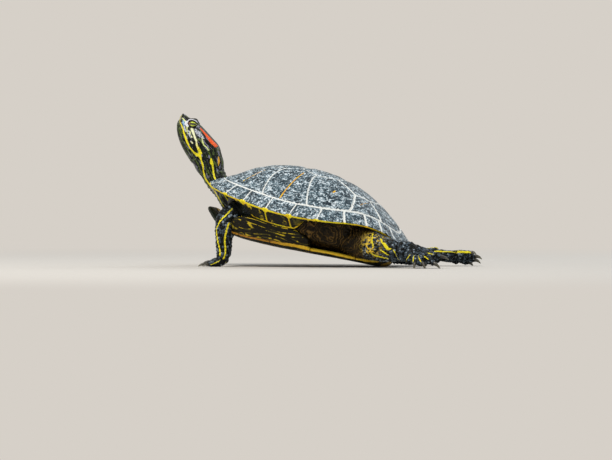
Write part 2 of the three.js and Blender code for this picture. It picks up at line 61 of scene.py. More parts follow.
PLASTRON_THICKNESS = 5.0
HEAD_BASE = np.array([-110.6, 16.0, 103.4])
HEAD_RAISE = 63.0
HEAD_TURN = 10.5
EYE_PLACE = np.array([28.4, 6.4, 6.0])
EYE_RADIUS = 4.7
EYE_FLAT = 0.88  # the balls are lower towards the crown than they are long
SKIN_VOXEL = 0.72
PLASTRON_VOXEL = 0.85
PLATE_GRID = 0.95
PLATE_GAP = 0.02  # each plate stops this far inside its outline
FAR = 9.0  # a stored distance at which nothing is painted
BATCH = 20000  # points measured at a time, to spare memory
END_SLACK = 2.0  # a point this far past the nearest station of a form still lies beside it
CAP_REACH = 0.6  # how far a form's rounded end goes out, in its smaller half-sizes
HAND_TURN = 4.0  # degrees the hands point outwards
EDGE_LINES = (0.28, 0.6, 1.0)  # depths of the lines of points inside a plate's outline


# ---------------------------------------------------------------- small maths
def mix(a, b, t):
    return a + (b - a) * t


def ramp(a, b, v):
    t = np.clip((v - a) / (b - a), 0.0, 1.0)
    return t * t * (3 - 2 * t)


def bump(v, at, wide):
    return np.exp(-(((v - at) / wide) ** 2))


def wave(v, length):
    return np.sin(2 * pi * v / length)


def curve(table):
    """Smooth curve through a short table of [position, value] pairs."""
    xs, ys = np.array(table, float).T
    last = len(xs) - 1
    before = np.maximum(np.arange(last + 1) - 1, 0)
    after = np.minimum(np.arange(last + 1) + 1, last)
    slope = (ys[after] - ys[before]) / (xs[after] - xs[before])

    def value(at):
        at = np.clip(at, xs[0], xs[-1])
        i = np.clip(np.searchsorted(xs, at) - 1, 0, last - 1)
        span = xs[i + 1] - xs[i]
        t = (at - xs[i]) / span
        start = (1 + 2 * t) * (1 - t) ** 2 * ys[i] + t * (1 - t) ** 2 * span * slope[i]
        return start + t * t * (3 - 2 * t) * ys[i + 1] + t * t * (t - 1) * span * slope[i + 1]

    return value


def unit(v):
    return v / np.linalg.norm(v)


def units(rows):
    return rows / np.linalg.norm(rows, axis=1)[:, None]


def dots(a, b):
    return np.einsum("ij,ij->i", a, b)


def cos_sin(angle):
    return cos(radians(angle)), sin(radians(angle))


def turn_y(angle):
    c, s = cos_sin(angle)
    return np.array([[c, 0, s], [0, 1, 0], [-s, 0, c]])


def turn_x(angle):
    c, s = cos_sin(angle)
    return np.array([[1, 0, 0], [0, c, -s], [0, s, c]])


class Place:
    """A local frame: an origin and three axes."""

    def __init__(self, origin, x, y, z):
        self.origin = np.asarray(origin, float)
        self.axes = np.array([x, y, z], float)

    def out(self, points):
        return self.origin + np.asarray(points, float) @ self.axes

    def into(self, points):
        return (np.asarray(points, float) - self.origin) @ self.axes.T


shell = Place(SHELL_CENTRE, *(turn_y(SHELL_PITCH) @ turn_x(-SHELL_ROLL)).T)


def head_place():
    """Length towards the snout, side towards the left, then up over the crown."""
    (raise_cos, raise_sin), (turn_cos, turn_sin) = cos_sin(HEAD_RAISE), cos_sin(HEAD_TURN)
    ahead = np.array([-raise_cos * turn_cos, -raise_cos * turn_sin, raise_sin])
    side = np.array([turn_sin, -turn_cos, 0.0])
    return Place(HEAD_BASE, ahead, side, np.cross(ahead, side))


head = head_place()

eye_low, eye_high = (np.array(corner) * 1000 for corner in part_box("eye_left"))
SHIFT = (eye_low + eye_high) / 2 - head.out(EYE_PLACE)


# ---------------------------------------------------------------- meshes
def add_object(name, data):
    piece = bpy.data.objects.new(name, data)
    bpy.context.scene.collection.objects.link(piece)
    return piece


def raw_object(name, points, faces):
    """Object in metres in the CAD's frame from millimetre points in the drawing frame."""
    mesh = bpy.data.meshes.new(name)
    mesh.from_pydata(((np.asarray(points, float) + SHIFT) / 1000).tolist(), [], faces)
    return add_object(name, mesh)


def read(mesh, what):
    flat = np.empty(len(mesh.vertices) * 3)
    mesh.vertices.foreach_get(what, flat)
    return flat.reshape(-1, 3)


def points_of(mesh):
    return read(mesh, "co") * 1000 - SHIFT


def set_points(mesh, points):
    mesh.vertices.foreach_set("co", ((points + SHIFT) / 1000).ravel())
    mesh.update()


def over_floor(points, gap=0.0):
    return np.column_stack([points[:, :2], np.maximum(points[:, 2], gap - SHIFT[2])])


def raise_surface(mesh, points, relief):
    """Move the points outwards by a relief in millimetres, and keep them over the floor."""
    set_points(mesh, over_floor(points + read(mesh, "normal") * relief[:, None]))


def store(mesh, **marks):
    """Keep a number or a vector at each point of the mesh, for its material to read."""
    for name, values in marks.items():
        kind, key = ("FLOAT_VECTOR", "vector") if np.ndim(values) == 2 else ("FLOAT", "value")
        data = mesh.attributes.new(name, kind, "POINT").data
        data.foreach_set(key, np.asarray(values, np.float32).ravel())


def finish_piece(piece, materials, nodes):
    piece.data.materials.clear()
    for material in materials:
        piece.data.materials.append(material)
    piece.data.polygons.foreach_set("material_index", [0] * len(piece.data.polygons))
    piece.data.shade_smooth()
    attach(piece, "root")
    if nodes:
        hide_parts(*nodes)
    return piece


def loop_pairs(count):
    return [(i, (i + 1) % count) for i in range(count)]


def ring_faces(rings, count):
    pairs = loop_pairs(count)
    starts = range(0, (rings - 1) * count, count)
    return [(s + i, s + j, s + j + count, s + i + count) for s in starts for i, j in pairs]


def loft(rings):
    """Closed body through rings of equal point counts, as points and outward faces."""
    count = len(rings[0])
    points = np.vstack([*rings, [rings[0].mean(0)], [rings[-1].mean(0)]])
    faces = ring_faces(len(rings), count)
    top = (len(rings) - 1) * count
    for i, j in loop_pairs(count):
        faces.append((len(points) - 2, j, i))
        faces.append((len(points) - 1, top + i, top + j))
    triangles = [(f[0], f[k], f[k + 1]) for f in faces for k in range(1, len(f) - 1)]
    a, b, c = (points[[t[k] for t in triangles]] for k in range(3))
    if dots(a, np.cross(b, c)).sum() < 0:
        faces = [f[::-1] for f in faces]
    return points, faces


def join(bodies):
    points, faces, start = [], [], 0
    for body_points, body_faces in bodies:
        points.append(body_points)
        faces += [tuple(i + start for i in f) for f in body_faces]
        start += len(body_points)
    return np.vstack(points), faces


def applied(piece):
    """The piece's mesh with its modifiers applied."""
    graph = bpy.context.evaluated_depsgraph_get()
    mesh = bpy.data.meshes.new_from_object(piece.evaluated_get(graph))
    piece.modifiers.clear()
    piece.data = mesh
    return mesh


def remesh(piece, voxel, rounds):
    modifier = piece.modifiers.new("even", "REMESH")
    modifier.mode = "VOXEL"
    modifier.voxel_size = voxel / 1000
    if rounds:
        even = piece.modifiers.new("soft", "SMOOTH")
        even.factor = 0.5
        even.iterations = rounds
    return applied(piece)


def cut_away(piece, body):
    tool = raw_object("tool", *body)
    modifier = piece.modifiers.new("cut", "BOOLEAN")
    modifier.operation = "DIFFERENCE"
    modifier.solver = "MANIFOLD"
    modifier.object = tool
    mesh = applied(piece)
    bpy.data.objects.remove(tool)
    return mesh


# ---------------------------------------------------------------- bent round forms
class Tube:
    """A bent round form through stations [x, y, z, wide half-size, thin half-size]."""

    def __init__(self, stations, wide, count=90, place=None):
        stations = np.array(stations, float)
        if place:
            stations[:, :3] = place.out(stations[:, :3])
            wide = np.asarray(wide, float) @ place.axes
        self.centre, self.half = self.smooth(stations, count)
        self.along = units(np.gradient(self.centre, axis=0))
        self.u = units(wide - self.along * (self.along @ wide)[:, None])
        self.v = np.cross(self.along, self.u)
        lengths = np.linalg.norm(np.diff(self.centre, axis=0), axis=1)
        self.station = np.concatenate([[0.0], np.cumsum(lengths)])
        self.length = self.station[-1]

    @staticmethod
    def smooth(stations, count):
        """Even steps along the centripetal curve through the stations."""
        last = len(stations) - 1
        padded = np.vstack([2 * stations[0] - stations[1], stations, 2 * stations[-1] - stations[-2]])
        centre, half = [], []
        for t in np.linspace(0, last, count):
            i = min(int(t), last - 1)
            f = t - i
            p0, p1, p2, p3 = (padded[i + k, :3] for k in range(4))
            d0, d1, d2 = (np.linalg.norm(b - a) ** 0.5 for a, b in ((p0, p1), (p1, p2), (p2, p3)))
            m1 = ((p1 - p0) / d0 - (p2 - p0) / (d0 + d1) + (p2 - p1) / d1) * d1
            m2 = ((p2 - p1) / d1 - (p3 - p1) / (d1 + d2) + (p3 - p2) / d2) * d1
            rise = f * f * (3 - 2 * f)
            centre.append(
                (1 - rise) * p1 + (f ** 3 - 2 * f * f + f) * m1 + rise * p2 + (f ** 3 - f * f) * m2
            )
            half.append(mix(stations[i, 3:5], stations[i + 1, 3:5], rise))
        return np.array(centre), np.array(half)

    def at(self, station, angle):
        """Surface points at lengths along the form and angles in degrees, from wide towards thin."""
        station, angle = np.broadcast_arrays(station, np.radians(angle))
        row = np.clip(np.searchsorted(self.station, station), 0, len(self.station) - 1)
        wide = self.half[row, 0] * np.cos(angle)
        thin = self.half[row, 1] * np.sin(angle)
        return self.centre[row] + wide[..., None] * self.u[row] + thin[..., None] * self.v[row]

    def body(self, sides):
        """Closed body with both ends rounded over."""
        angles = 360.0 * (np.arange(sides) + 0.5) / sides
        rings = [self.at(s, angles) for s in self.station]
        for row, towards in ((0, -1), (-1, 1)):
            centre, reach = self.centre[row], self.half[row].min() * CAP_REACH
            caps = [
                centre + (rings[row] - centre) * shrink + self.along[row] * towards * out * reach
                for shrink, out in ((0.86, 0.5), (0.5, 0.87))
            ]
            rings = caps[::-1] + rings if row == 0 else rings + caps
        return loft(rings)

    def locate(self, points):
        """Length along, angle in degrees and height over the surface for many points."""
        near = np.empty(len(points), int)
        for start in range(0, len(points), BATCH):
            part = points[start:start + BATCH]
            gaps = ((part[:, None, :] - self.centre[None]) ** 2).sum(2)
            near[start:start + BATCH] = gaps.argmin(1)
        offset, girth = points - self.centre[near], self.half[near].mean(1)
        along, wide, thin = (dots(offset, axis[near]) for axis in (self.along, self.u, self.v))
        wide, thin = wide / self.half[near, 0], thin / self.half[near, 1]
        beyond = np.maximum(np.abs(along) - END_SLACK, 0.0)
        height = (np.hypot(wide, thin) - 1) * girth + beyond
        return self.station[near] + along, np.degrees(np.arctan2(thin, wide)), height, girth


# ---------------------------------------------------------------- shell surfaces
def outline(phi):
    """Reach of the rim from the shell's middle; phi is 0 at the nape and pi at the tail."""
    power = mix(2.2, 1.95, ramp(1.2, 2.0, phi))
    x = np.abs(np.cos(phi)) / (SHELL_LENGTH / 2)
    y = np.abs(np.sin(phi)) / (SHELL_WIDTH / 2)
    notch = 1 - 0.02 * bump(phi, 0, 0.12) - 0.034 * bump(phi, 0, 0.42) - 0.02 * bump(phi, pi, 0.06)
    return notch * (x ** power + y ** power) ** (-1 / power)


def rim_height(phi):
    front = 8 * bump(phi, 0, 0.48) - 4.7 * bump(phi, 1.45, 0.64)
    return front + 4.55 * bump(phi, 2.55, 0.35) - 7 * bump(phi, pi, 0.3)


def dome_height(q, phi):
    nape_dip = 3.4 * bump(q, 0.78, 0.15) * bump(phi, 0, 0.5)
    return mix(rim_height(phi), DOME_HEIGHT, 1 - q ** DOME_POWER) - nape_dip


def bridge_wrap(phi):
    return ramp(0.75, 1.05, phi) * (1 - ramp(1.7, 2.0, phi))


def under_rim(q, phi):
    """Level of the edge plates' underside, thin at the legs and deep at the bridge."""
    rim = rim_height(phi)
    thin = dome_height(np.minimum(q, 0.97), phi) - PLATE_THICKNESS - 6.5 * ramp(0.93, 1, q)
    thick = rim - 3 - 9.5 * np.minimum((1 - q) / 0.15, 1)
    return mix(np.maximum(thin, rim - 2.4), thick, bridge_wrap(phi))


def shell_point(q, turn, height):
    phi = np.abs(turn)
    reach = outline(phi) * q
    return np.stack(np.broadcast_arrays(-reach * np.cos(turn), reach * np.sin(turn), height), -1)


def all_round(count):
    """Turns about the shell's middle, and how far each is from the nape."""
    turn = pi * (2 * np.arange(count) - count + 1) / count
    return turn, np.abs(turn)


def bowl(extra):
    """The whole carapace as one body, grown by a clearance, for cutting the flesh and the belly plate."""
    turn, phi = all_round(96)
    outer = (0.1, 0.3, 0.5, 0.68, 0.82, 0.93, 0.98)
    rings = [shell_point(q, turn, dome_height(q, phi) + extra) for q in outer]
    rings.append(shell_point(1 + extra / 90, turn, rim_height(phi) + extra))
    rings.append(shell_point(1 + extra / 90, turn, rim_height(phi) - 1.6 - extra))
    rings += [shell_point(q, turn, under_rim(q, phi) - extra) for q in (0.97, 0.94, 0.9, 0.85)]
    inner = (0.838 - extra / 90, 0.66, 0.44, 0.16)
    rings += [shell_point(q, turn, dome_height(q, phi) - PLATE_THICKNESS - extra) for q in inner]
    points, faces = loft(rings)
    return shell.out(points), faces


# ---------------------------------------------------------------- flesh, as in the solids
crown_line = curve([
    [-6, 17.2], [2, 17], [9, 15.5], [16, 13.6], [24, 11.2], [30, 8.8], [34, 5.8], [37, 4], [41, 2],
])
throat_line = curve([
    [-6, -12], [3, -13], [12, -13.6], [20, -13.3], [27, -12], [33, -9.7], [37, -6.8], [39.5, -2.8],
    [41, 0.2],
])
cheek_line = curve([[-6, 12], [2, 14.6], [10, 15.4], [17, 14.2], [24, 11.4], [31, 8.9], [37, 6.2], [41, 3.2]])
mouth_line = curve([[20, -6.8], [24, -6.5], [29, -6.2], [34, -5.4], [38, -4.0], [41.5, -2.0]])

HEAD_SIDES = 72

neck_tube = Tube([
    [-58, 3, 46.6, 17, 14.4], [-73.6, 7, 55, 16, 10.8], [-87.4, 12.2, 67.8, 13.4, 8.4],
    [-98, 15.2, 82.7, 12.4, 10.5], [-103.2, 16, 94.2, 13.7, 13.5], [-107.8, 16.2, 104.1, 14.4, 14.8],
    [-111.4, 15.7, 109.4, 14, 14.2],
], head.axes[1])
tail_tube = Tube([
    [66, 0, 22, 10, 9], [84, -1, 17, 8, 7.4], [99, -5, 9.5, 5.4, 5], [112, -13, 4.4, 3.2, 3.1],
    [120, -21, 2.2, 1.5, 1.6],
], np.array([0.0, 1.0, 0.0]))
FORE_WIDE = np.array([1.0, 0.0, 0.2])
HIND_WIDE = np.array([0.0, 0.2, 1.0])
limb_tubes = {
    "fore_left": Tube([
        [-46, -24, 54, 12, 11], [-57, -36, 51.5, 11, 10.2], [-65.4, -42, 43, 10.4, 9.4],
        [-67.6, -44, 33, 8.8, 7.6], [-68.6, -45, 24, 7, 6.2], [-68.4, -45.5, 11, 6.2, 5.6],
        [-70, -46, 6.6, 5.2, 4.2],
    ], FORE_WIDE),
    "fore_right": Tube([
        [-61, 24, 55, 12, 11], [-76, 36, 52, 11, 10.2], [-89, 42, 43, 9.6, 9],
        [-95.6, 44, 33, 8.4, 7.6], [-98, 44.5, 24, 6.8, 6.2], [-98, 45, 11, 6.2, 5.6],
        [-99.4, 45, 6.6, 5.2, 4.2],
    ], FORE_WIDE),
    "hind_left": Tube([
        [50, -28, 24, 15, 13], [67, -37, 21.6, 14, 12.5], [84, -45, 17.6, 12, 10.5],
        [97, -49, 15.8, 10.4, 8.6], [109, -51, 15.2, 9.4, 7], [117, -52, 15.4, 8.6, 5.6],
    ], HIND_WIDE),
    "hind_right": Tube([
        [50, 26, 22, 14, 13], [68, 36, 14.4, 12, 12], [84, 42, 9.2, 8.4, 9],
        [96, 45, 8.4, 7.8, 7.8], [105, 46.4, 9.2, 7.6, 6.6], [110, 47, 10, 7.4, 5.8],
    ], HIND_WIDE),
}


class Foot:
    """A palm, toes fanned in its own plane, a web between them and curved claws.

    Each toe is its turn, length, radius, claw's length and arch.
    """

    def __init__(self, place, palm, root, web, toes):
        self.place, self.root, self.web, self.toes = place, root, web, toes
        self.palm = Tube(palm, np.array([0.0, 1.0, 0.0]), 40, place)
        self.toe_tubes = [self.toe(turn, length, radius, arch) for turn, length, radius, _, arch in toes]

    def ray(self, turn, reach, level):
        c, s = cos_sin(turn)
        return [self.root + reach * c, reach * s, level]

    def finger(self, turn, radius, count, rows):
        """A form on a toe's ray through rows of reach, level, and wide and thin shares of its radius."""
        c, s = cos_sin(turn)
        stations = [[*self.ray(turn, at, level), radius * a, radius * b] for at, level, a, b in rows]
        return Tube(stations, np.array([-s, c, 0.0]), count, self.place)

    def toe(self, turn, length, radius, arch):
        return self.finger(turn, radius, 26, [
            (2, 0.3, 1, 1), (length * 0.3, arch * 0.7, 0.96, 0.95), (length * 0.6, arch, 0.93, 0.92),
            (length * 0.9, 0.2, 0.78, 0.76), (length * 0.98, 0.0, 0.62, 0.6),
        ])

    def claw(self, turn, length, radius, claw):
        """A curved horn cone, wider at its root and bent down to a point."""
        end = length * 0.97
        return self.finger(turn, radius, 24, [
            (length * 0.84, 0.35, 0.56, 0.6), (end + claw * 0.2, 0.75, 0.5, 0.56),
            (end + claw * 0.55, 0.35, 0.34, 0.42), (end + claw * 0.85, -radius * 0.3, 0.17, 0.22),
            (end + claw, -radius * 0.62, 0.05, 0.06),
        ])

    def webbing(self):
        """The thin skin between the toes, scalloped at its edge."""
        rim = []
        for (turn, length, *_), after in zip(self.toes, [*self.toes[1:], None]):
            rim.append(self.ray(turn, self.web * length, 0))
            if after:
                for share in (0.25, 0.5, 0.75):
                    reach = mix(length, after[1], share) * self.web * (1 - 0.2 * sin(pi * share))
                    rim.append(self.ray(mix(turn, after[0], share), reach, 0))
        rim = np.array([[self.root - 2, 0, 0], *rim], float)
        rings = [rim + [0, 0, level] for level in (-0.75, 0.0, 0.75)]
        points, faces = loft(rings)
        return self.place.out(points), faces

    def bodies(self):
        return [self.palm.body(28), self.webbing(), *(toe.body(16) for toe in self.toe_tubes)]

    def claws(self):
        return [self.claw(*toe).body(14) for *toe, _ in self.toes if toe[3]]


def hand(x, y, side):
    c, s = cos_sin(HAND_TURN)
    ahead = np.array([-c, side * s, 0.0])
    across = np.cross([0, 0, 1], ahead)
    palm = [[-3, 0, 2.8, 5, 3.6], [1, 0, 2.3, 7, 4.2], [5, 0, 1.6, 8.4, 3.5], [10, 0, 0.9, 8, 2.8]]
    toes = list(zip((-44, -22, 0, 22, 44), (10, 11.5, 12, 11.5, 10), (2.1, 2.3, 2.4, 2.3, 2.1),
                    (6, 7, 7.4, 7, 6), (1.2,) * 5))
    return Foot(Place([x, y, 1.5], ahead, across, np.cross(ahead, across)), palm, 2, 0.62, toes)


def hind_foot(at, pitch, side, tilt, toes):
    c, s = cos_sin(pitch)
    ahead, outward = np.array([c, 0.0, -s]), np.array([0.0, side, 0.0])
    down = np.cross(outward, ahead) * side
    c, s = cos_sin(tilt)
    across = outward * c + down * s
    across = unit(across - ahead * (across @ ahead))
    up = np.cross(ahead, across) * side
    palm = [[-8, 0, 0.4, 6, 5], [0, 1, 0.3, 8.5, 4.6], [7, 3, 0, 10.5, 3.8], [14, 4.5, 0, 10.5, 2.4]]
    radii = (2.8, 3.2, 3.2, 3, 2.5)
    toes = [(turn, length, radius, claw, 0.8) for (turn, length, claw), radius in zip(toes, radii)]
    return Foot(Place(at, ahead, across, up), palm, 3, 0.8, toes)


feet = {
    "fore_left": hand(-71, -46.4, -1),
    "fore_right": hand(-99.6, 45.4, 1),
    # Place, pitch, side, tilt, then the turn, length and claw of each toe.
    "hind_left": hind_foot([119, -52, 15.6], 14, -1, 40, [
        (-4, 23, 8), (24, 23, 8.5), (50, 17.5, 7.5), (76, 16.5, 6.8), (102, 17, 0),
    ]),
    "hind_right": hind_foot([112, 47, 10], -1, 1, 27, [
        (-6, 29, 6), (10, 31, 7), (25, 30, 7), (42, 27, 6), (62, 20, 0),
    ]),
}


def head_section(t):
    """Middle height and half-height of the head at a length from its base."""
    return (crown_line(t) + throat_line(t)) / 2, (crown_line(t) - throat_line(t)) / 2


def head_body():
    """The head's plain form; lids, beak and folds are raised on the skin afterwards."""
    angle = 2 * pi * (np.arange(HEAD_SIDES) + 0.5) / HEAD_SIDES
    c = np.sign(np.cos(angle)) * np.abs(np.cos(angle)) ** 0.88
    s = np.sign(np.sin(angle)) * np.abs(np.sin(angle)) ** 0.88
    narrow = np.where(s > 0, 1 - 0.16 * s, 1 + 0.1 * s)
    rings = []
    for t in [*np.linspace(-3, 39.5, 44), 40.6, 41.3, 41.7]:
        shrink = 1 - 0.5 * ramp(39.6, 41.9, t)
        middle, tall = head_section(t)
        wide = cheek_line(t) * shrink * c * narrow
        rings.append(np.stack([np.full(HEAD_SIDES, t), wide, middle + tall * shrink * s], -1))
    points, faces = loft(rings)
    return head.out(points), faces


def egg(centre, size, place, rows=18, sides=36):
    """An ellipsoid in a local frame, with its poles along the frame's second axis."""
    rise = pi * (np.arange(rows) + 0.5) / rows - pi / 2
    spin = 2 * pi * np.arange(sides) / sides
    rings = [
        np.stack([
            centre[0] + size[0] * cos(a) * np.cos(spin),
            np.full(sides, centre[1] + size[1] * sin(a)),
            centre[2] + size[2] * cos(a) * np.sin(spin),
        ], -1)
        for a in rise
    ]
    points, faces = loft(rings)
    return place.out(points), faces


def trunk_body():
    turn, phi = all_round(72)
    reach = TRUNK_REACH + 0.03 * bridge_wrap(phi) - 0.06 * bump(phi, 2.2, 0.35)

    def under(q):
        return dome_height(q, phi) - PLATE_THICKNESS - 1.3

    rings = [shell_point(reach * k, turn, under(reach * k)) for k in (0.15, 0.4, 0.65, 0.85, 0.97)]
    rings.append(shell_point(reach, turn, mix(rim_height(phi), under(reach), 0.35)))
    rings.append(shell_point(reach * 0.99, turn, mix(rim_height(phi) - 9, -26, 0.2)))
    rings.append(shell_point(reach * 0.9, turn, -22))
    rings += [shell_point(reach * k, turn, -27) for k in (0.6, 0.12)]
    points, faces = loft(rings)
    return shell.out(points), faces


# ---------------------------------------------------------------- plastron
plastron_width = curve([
    [-94, 9], [-91, 17], [-84, 24], [-72, 32], [-56, 40], [-40, 44], [0, 45], [30, 44],
    [50, 41], [66, 34], [78, 25], [84, 17], [87, 10],
])
plastron_level = curve([
    [-94, -18.5], [-86, -24], [-79, -28.6], [-66, -34], [-54, -36.8], [-38, -37.3], [0, -34.8],
    [38, -32], [77, -29.4], [84, -26.5], [87, -24.5],
])
bridge_rise = curve([[-56, 0.3], [-47, 0.75], [-36, 1], [2, 1], [12, 0.8], [21, 0.3]])
# Seams across the belly: place on its middle line, slant and curl.
PLASTRON_SEAMS = [(-80, -0.35, 0), (-52, 0.12, 5), (-18, 0.05, 3), (27, -0.08, -3), (55, 0.3, 0)]


def plastron_bodies(extra):
    """The belly plate and its two bridges up to the edge plates."""
    half = np.array([[0.3, -1], [0.6, -0.99], [0.8, -0.93], [0.93, -0.66], [1, -0.1], [0.97, 0.45],
                     [0.86, 0.88], [0.55, 1], [0.2, 1]])
    rings = []
    for x in [-94, -93, -91, *np.arange(-88, 79, 4.0), 80, 83, 85.5, 87]:
        wide, level = plastron_width(x) + extra, plastron_level(x)
        thick = PLASTRON_THICKNESS * mix(0.45, 1, ramp(0, 3.5, min(x + 94, 87 - x)))
        height = level + thick / 2 * (1 + half[:, 1]) + extra * half[:, 1]
        right = np.stack([np.full(len(half), x), wide * half[:, 0], height], -1)
        rings.append(np.vstack([right, (right * [1, -1, 1])[::-1]]))
    bodies = [loft(rings)]
    for side in (1, -1):
        rings = []
        for x in np.linspace(-56, 21, 24):
            z, e = plastron_level(x), bridge_rise(x)
            rim = -17 - 9 * (1 - e) - extra * 0.2
            section = np.array([
                [34, z + 0.5 - extra], [42, z + 0.9 - extra], [42 + 9 * e + extra, z + 6 - extra],
                [44 + 15 * e + extra, rim], [39 + 15 * e, rim + 2.5 + extra],
                [36 + 9 * e - extra, z + 11 + extra], [34, z + 5 + extra],
            ])
            rings.append(np.stack([np.full(7, x), side * section[:, 0], section[:, 1]], -1))
        bodies.append(loft(rings))
    return [(shell.out(points), faces) for points, faces in bodies]


# ---------------------------------------------------------------- skin form
LID_SIZE = np.array([5.2, 4.1, 4.7])
SCALE_DEPTH = 0.25  # the skin lies this far inside where solid scales cover it
SHELL_CLEARANCE, BELLY_CLEARANCE, BRIDGE_CLEARANCE = 0.6, 0.5, 0.05
LID_REACH = 7.0  # how far round each eye the skin's faces are fine
SIDES = np.array([[1, 1, 1], [1, -1, 1]])  # left and right of the head


def flesh_bodies():
    bodies = [head_body(), trunk_body(), neck_tube.body(44), tail_tube.body(28)]
    bodies += [egg(EYE_PLACE * side, LID_SIZE, head) for side in SIDES]
    for name, tube in limb_tubes.items():
        bodies += [tube.body(36), *feet[name].bodies()]
    return bodies


def refine(mesh, wanted):
    """Halve the faces whose points are all wanted, to carry finer relief there."""
    keep = wanted(points_of(mesh))
    work = bmesh.new()
    work.from_mesh(mesh)
    work.verts.ensure_lookup_table()
    edges = [e for e in work.edges if keep[e.verts[0].index] and keep[e.verts[1].index]]
    bmesh.ops.subdivide_edges(work, edges=edges, cuts=1, use_grid_fill=True, smooth=0.0)
    work.to_mesh(mesh)
    work.free()


def drop_scraps(mesh):
    """Drop every loose scrap that the cutting left."""
    work = bmesh.new()
    work.from_mesh(mesh)
    seen, islands = set(), []
    for start in work.verts:
        if start.index in seen:
            continue
        stack, island = [start], []
        seen.add(start.index)
        while stack:
            vert = stack.pop()
            island.append(vert)
            for edge in vert.link_edges:
                other = edge.other_vert(vert)
                if other.index not in seen:
                    seen.add(other.index)
                    stack.append(other)
        islands.append(island)
    islands.sort(key=len)
    scraps = [vert for island in islands[:-1] for vert in island]
    bmesh.ops.delete(work, geom=scraps, context="VERTS")
    work.to_mesh(mesh)
    work.free()


# ---------------------------------------------------------------- carapace
VERTEBRAL_ENDS = [(-52, 15), (-12, 15.5), (25, 17), (59, 15)]
VERTEBRAL_SIDES = [(-26, 22), (6, 25), (43, 27.5)]
COSTAL_RIM = [0.28, 1.1, 1.81, 2.39, 2.8]
# Angles of the seams between edge plates, at their inner border and at the rim.
SEAM_TOP = [0.1, 0.3, 0.478, 0.681, 0.936, 1.277, 1.659, 2.036, 2.321, 2.57, 2.754, 2.917, 3.1416]
SEAM_RIM = [0.1, 0.19, 0.325, 0.706, 0.972, 1.292, 1.624, 1.982, 2.306, 2.549, 2.722, 2.888, 3.1416]
EDGE_GROUPS = {"front": (0, 4), "bridge": (4, 7), "rear": (7, 12)}
# Orange bars on the costal plates, by plate: ends in plan and half-width, right side mirrored.
COSTAL_BARS = {
    "1": [(-55.5, -44.5), (-43, -29.5), 0.42],
    "2": [(-12, -60.5), (-6.5, -27.5), 0.55],
    "3": [(30.2, -40.6), (30.9, -38.8), 0.75],
    "4": [(57, -36), (60, -24), 0.3],
}


def on_border(phi):
    return [-RIM_START * outline(phi) * cos(phi), RIM_START * outline(phi) * sin(phi)]


def border_arc(start, end):
    return [on_border(phi) for phi in np.linspace(start, end, max(int((end - start) / 0.02), 2))]


def mirrored(points):
    return [[x, -y] for x, y in points]


def both_sides(points):
    return points + mirrored([p for p in points if abs(p[1]) > 0.01])[::-1]


def plate_plans():
    """Plan outline of every middle and rib plate."""
    plans = {"vertebral_1": both_sides(border_arc(0, COSTAL_RIM[0]) + [VERTEBRAL_ENDS[0]])}
    for i in range(3):
        corners = [VERTEBRAL_ENDS[i], VERTEBRAL_SIDES[i], VERTEBRAL_ENDS[i + 1]]
        plans[f"vertebral_{i + 2}"] = both_sides(corners)
    tail_edge = border_arc(COSTAL_RIM[4], pi)
    plans["vertebral_5"] = both_sides([VERTEBRAL_ENDS[3], *tail_edge[:-1], [tail_edge[-1][0], 0.0]])
    ends, sides = VERTEBRAL_ENDS, VERTEBRAL_SIDES
    tops = [[sides[0], ends[0]], [sides[1], ends[1], sides[0]], [sides[2], ends[2], sides[1]],
            [ends[3], sides[2]]]
    for i, top in enumerate(tops):
        right = border_arc(COSTAL_RIM[i], COSTAL_RIM[i + 1]) + top
        plans[f"costal_right_{i + 1}"] = right
        plans[f"costal_left_{i + 1}"] = mirrored(right)
    return plans


def in_plan(x, y):
    return np.stack([x, y, np.zeros(len(x))], -1)


def bowed(points):
    """Plan points moved so that the seams across the shell bow towards its ends, and wander a little."""
    x, y = points.T
    q, _ = dome_place(x, y)
    s = np.clip((q - 0.33) / 0.55, 0, 1)
    bow = 3.8 * (2 * ramp(8, 42, x) - 1) * 4 * s * (1 - s) * ramp(14, 30, np.abs(y))
    loose = 0.45 * (1 - ramp(0.82, 0.865, q))
    flat = in_plan(x, y)
    return np.stack([x + bow + loose * ripple(flat, 6, 4.4), y + loose * ripple(flat, 6, 8.8)], -1)


def plate_border(corners):
    """Closed outline with even spacing along bowed and gently waved sides."""
    corners = np.array(corners, float)
    if np.cross(corners, np.roll(corners, -1, axis=0)).sum() < 0:
        corners = corners[::-1]
    dense = []
    for a, b in zip(corners, np.roll(corners, -1, axis=0)):
        steps = max(int(np.linalg.norm(b - a) / 0.9), 1)
        dense += [a + (b - a) * k / steps for k in range(steps)]
    return bowed(np.array(dense))


def border_distance(points, border):
    """Distance of plan points from a closed outline, and whether each lies inside it."""
    nearest = np.full(len(points), 1e9)
    inside = np.zeros(len(points), bool)
    for a, b in zip(border, np.roll(border, -1, axis=0)):
        side, gap = b - a, points - a
        t = np.clip(gap @ side / max(side @ side, 1e-9), 0, 1)
        nearest = np.minimum(nearest, np.hypot(*(gap - t[:, None] * side).T))
        crosses = (a[1] > points[:, 1]) != (b[1] > points[:, 1])
        with np.errstate(divide="ignore", invalid="ignore"):
            meet = a[0] + (points[:, 1] - a[1]) * side[0] / side[1]
        inside ^= crosses & (points[:, 0] < meet)
    return nearest, inside


def ripple(points, size, seed=0.0):
    """Smooth random value from -1 to 1 at millimetre points, at a given grain."""
    offset = Vector((seed, seed * 1.7, -seed))
    return np.array([noise.noise(Vector(p) / size + offset) for p in points.tolist()])


def seam_mark(gap, x):
    """Distance from a seam as it is painted; the pale lines widen towards the tail."""
    return gap * mix(1.0, 0.6, ramp(5, 50, x))


def dome_place(x, y):
    """Share q of the way out to the rim, and turn phi from the nape, of plan points."""
    phi = np.arctan2(np.abs(y), -x)
    return np.hypot(x, y) / outline(phi), phi


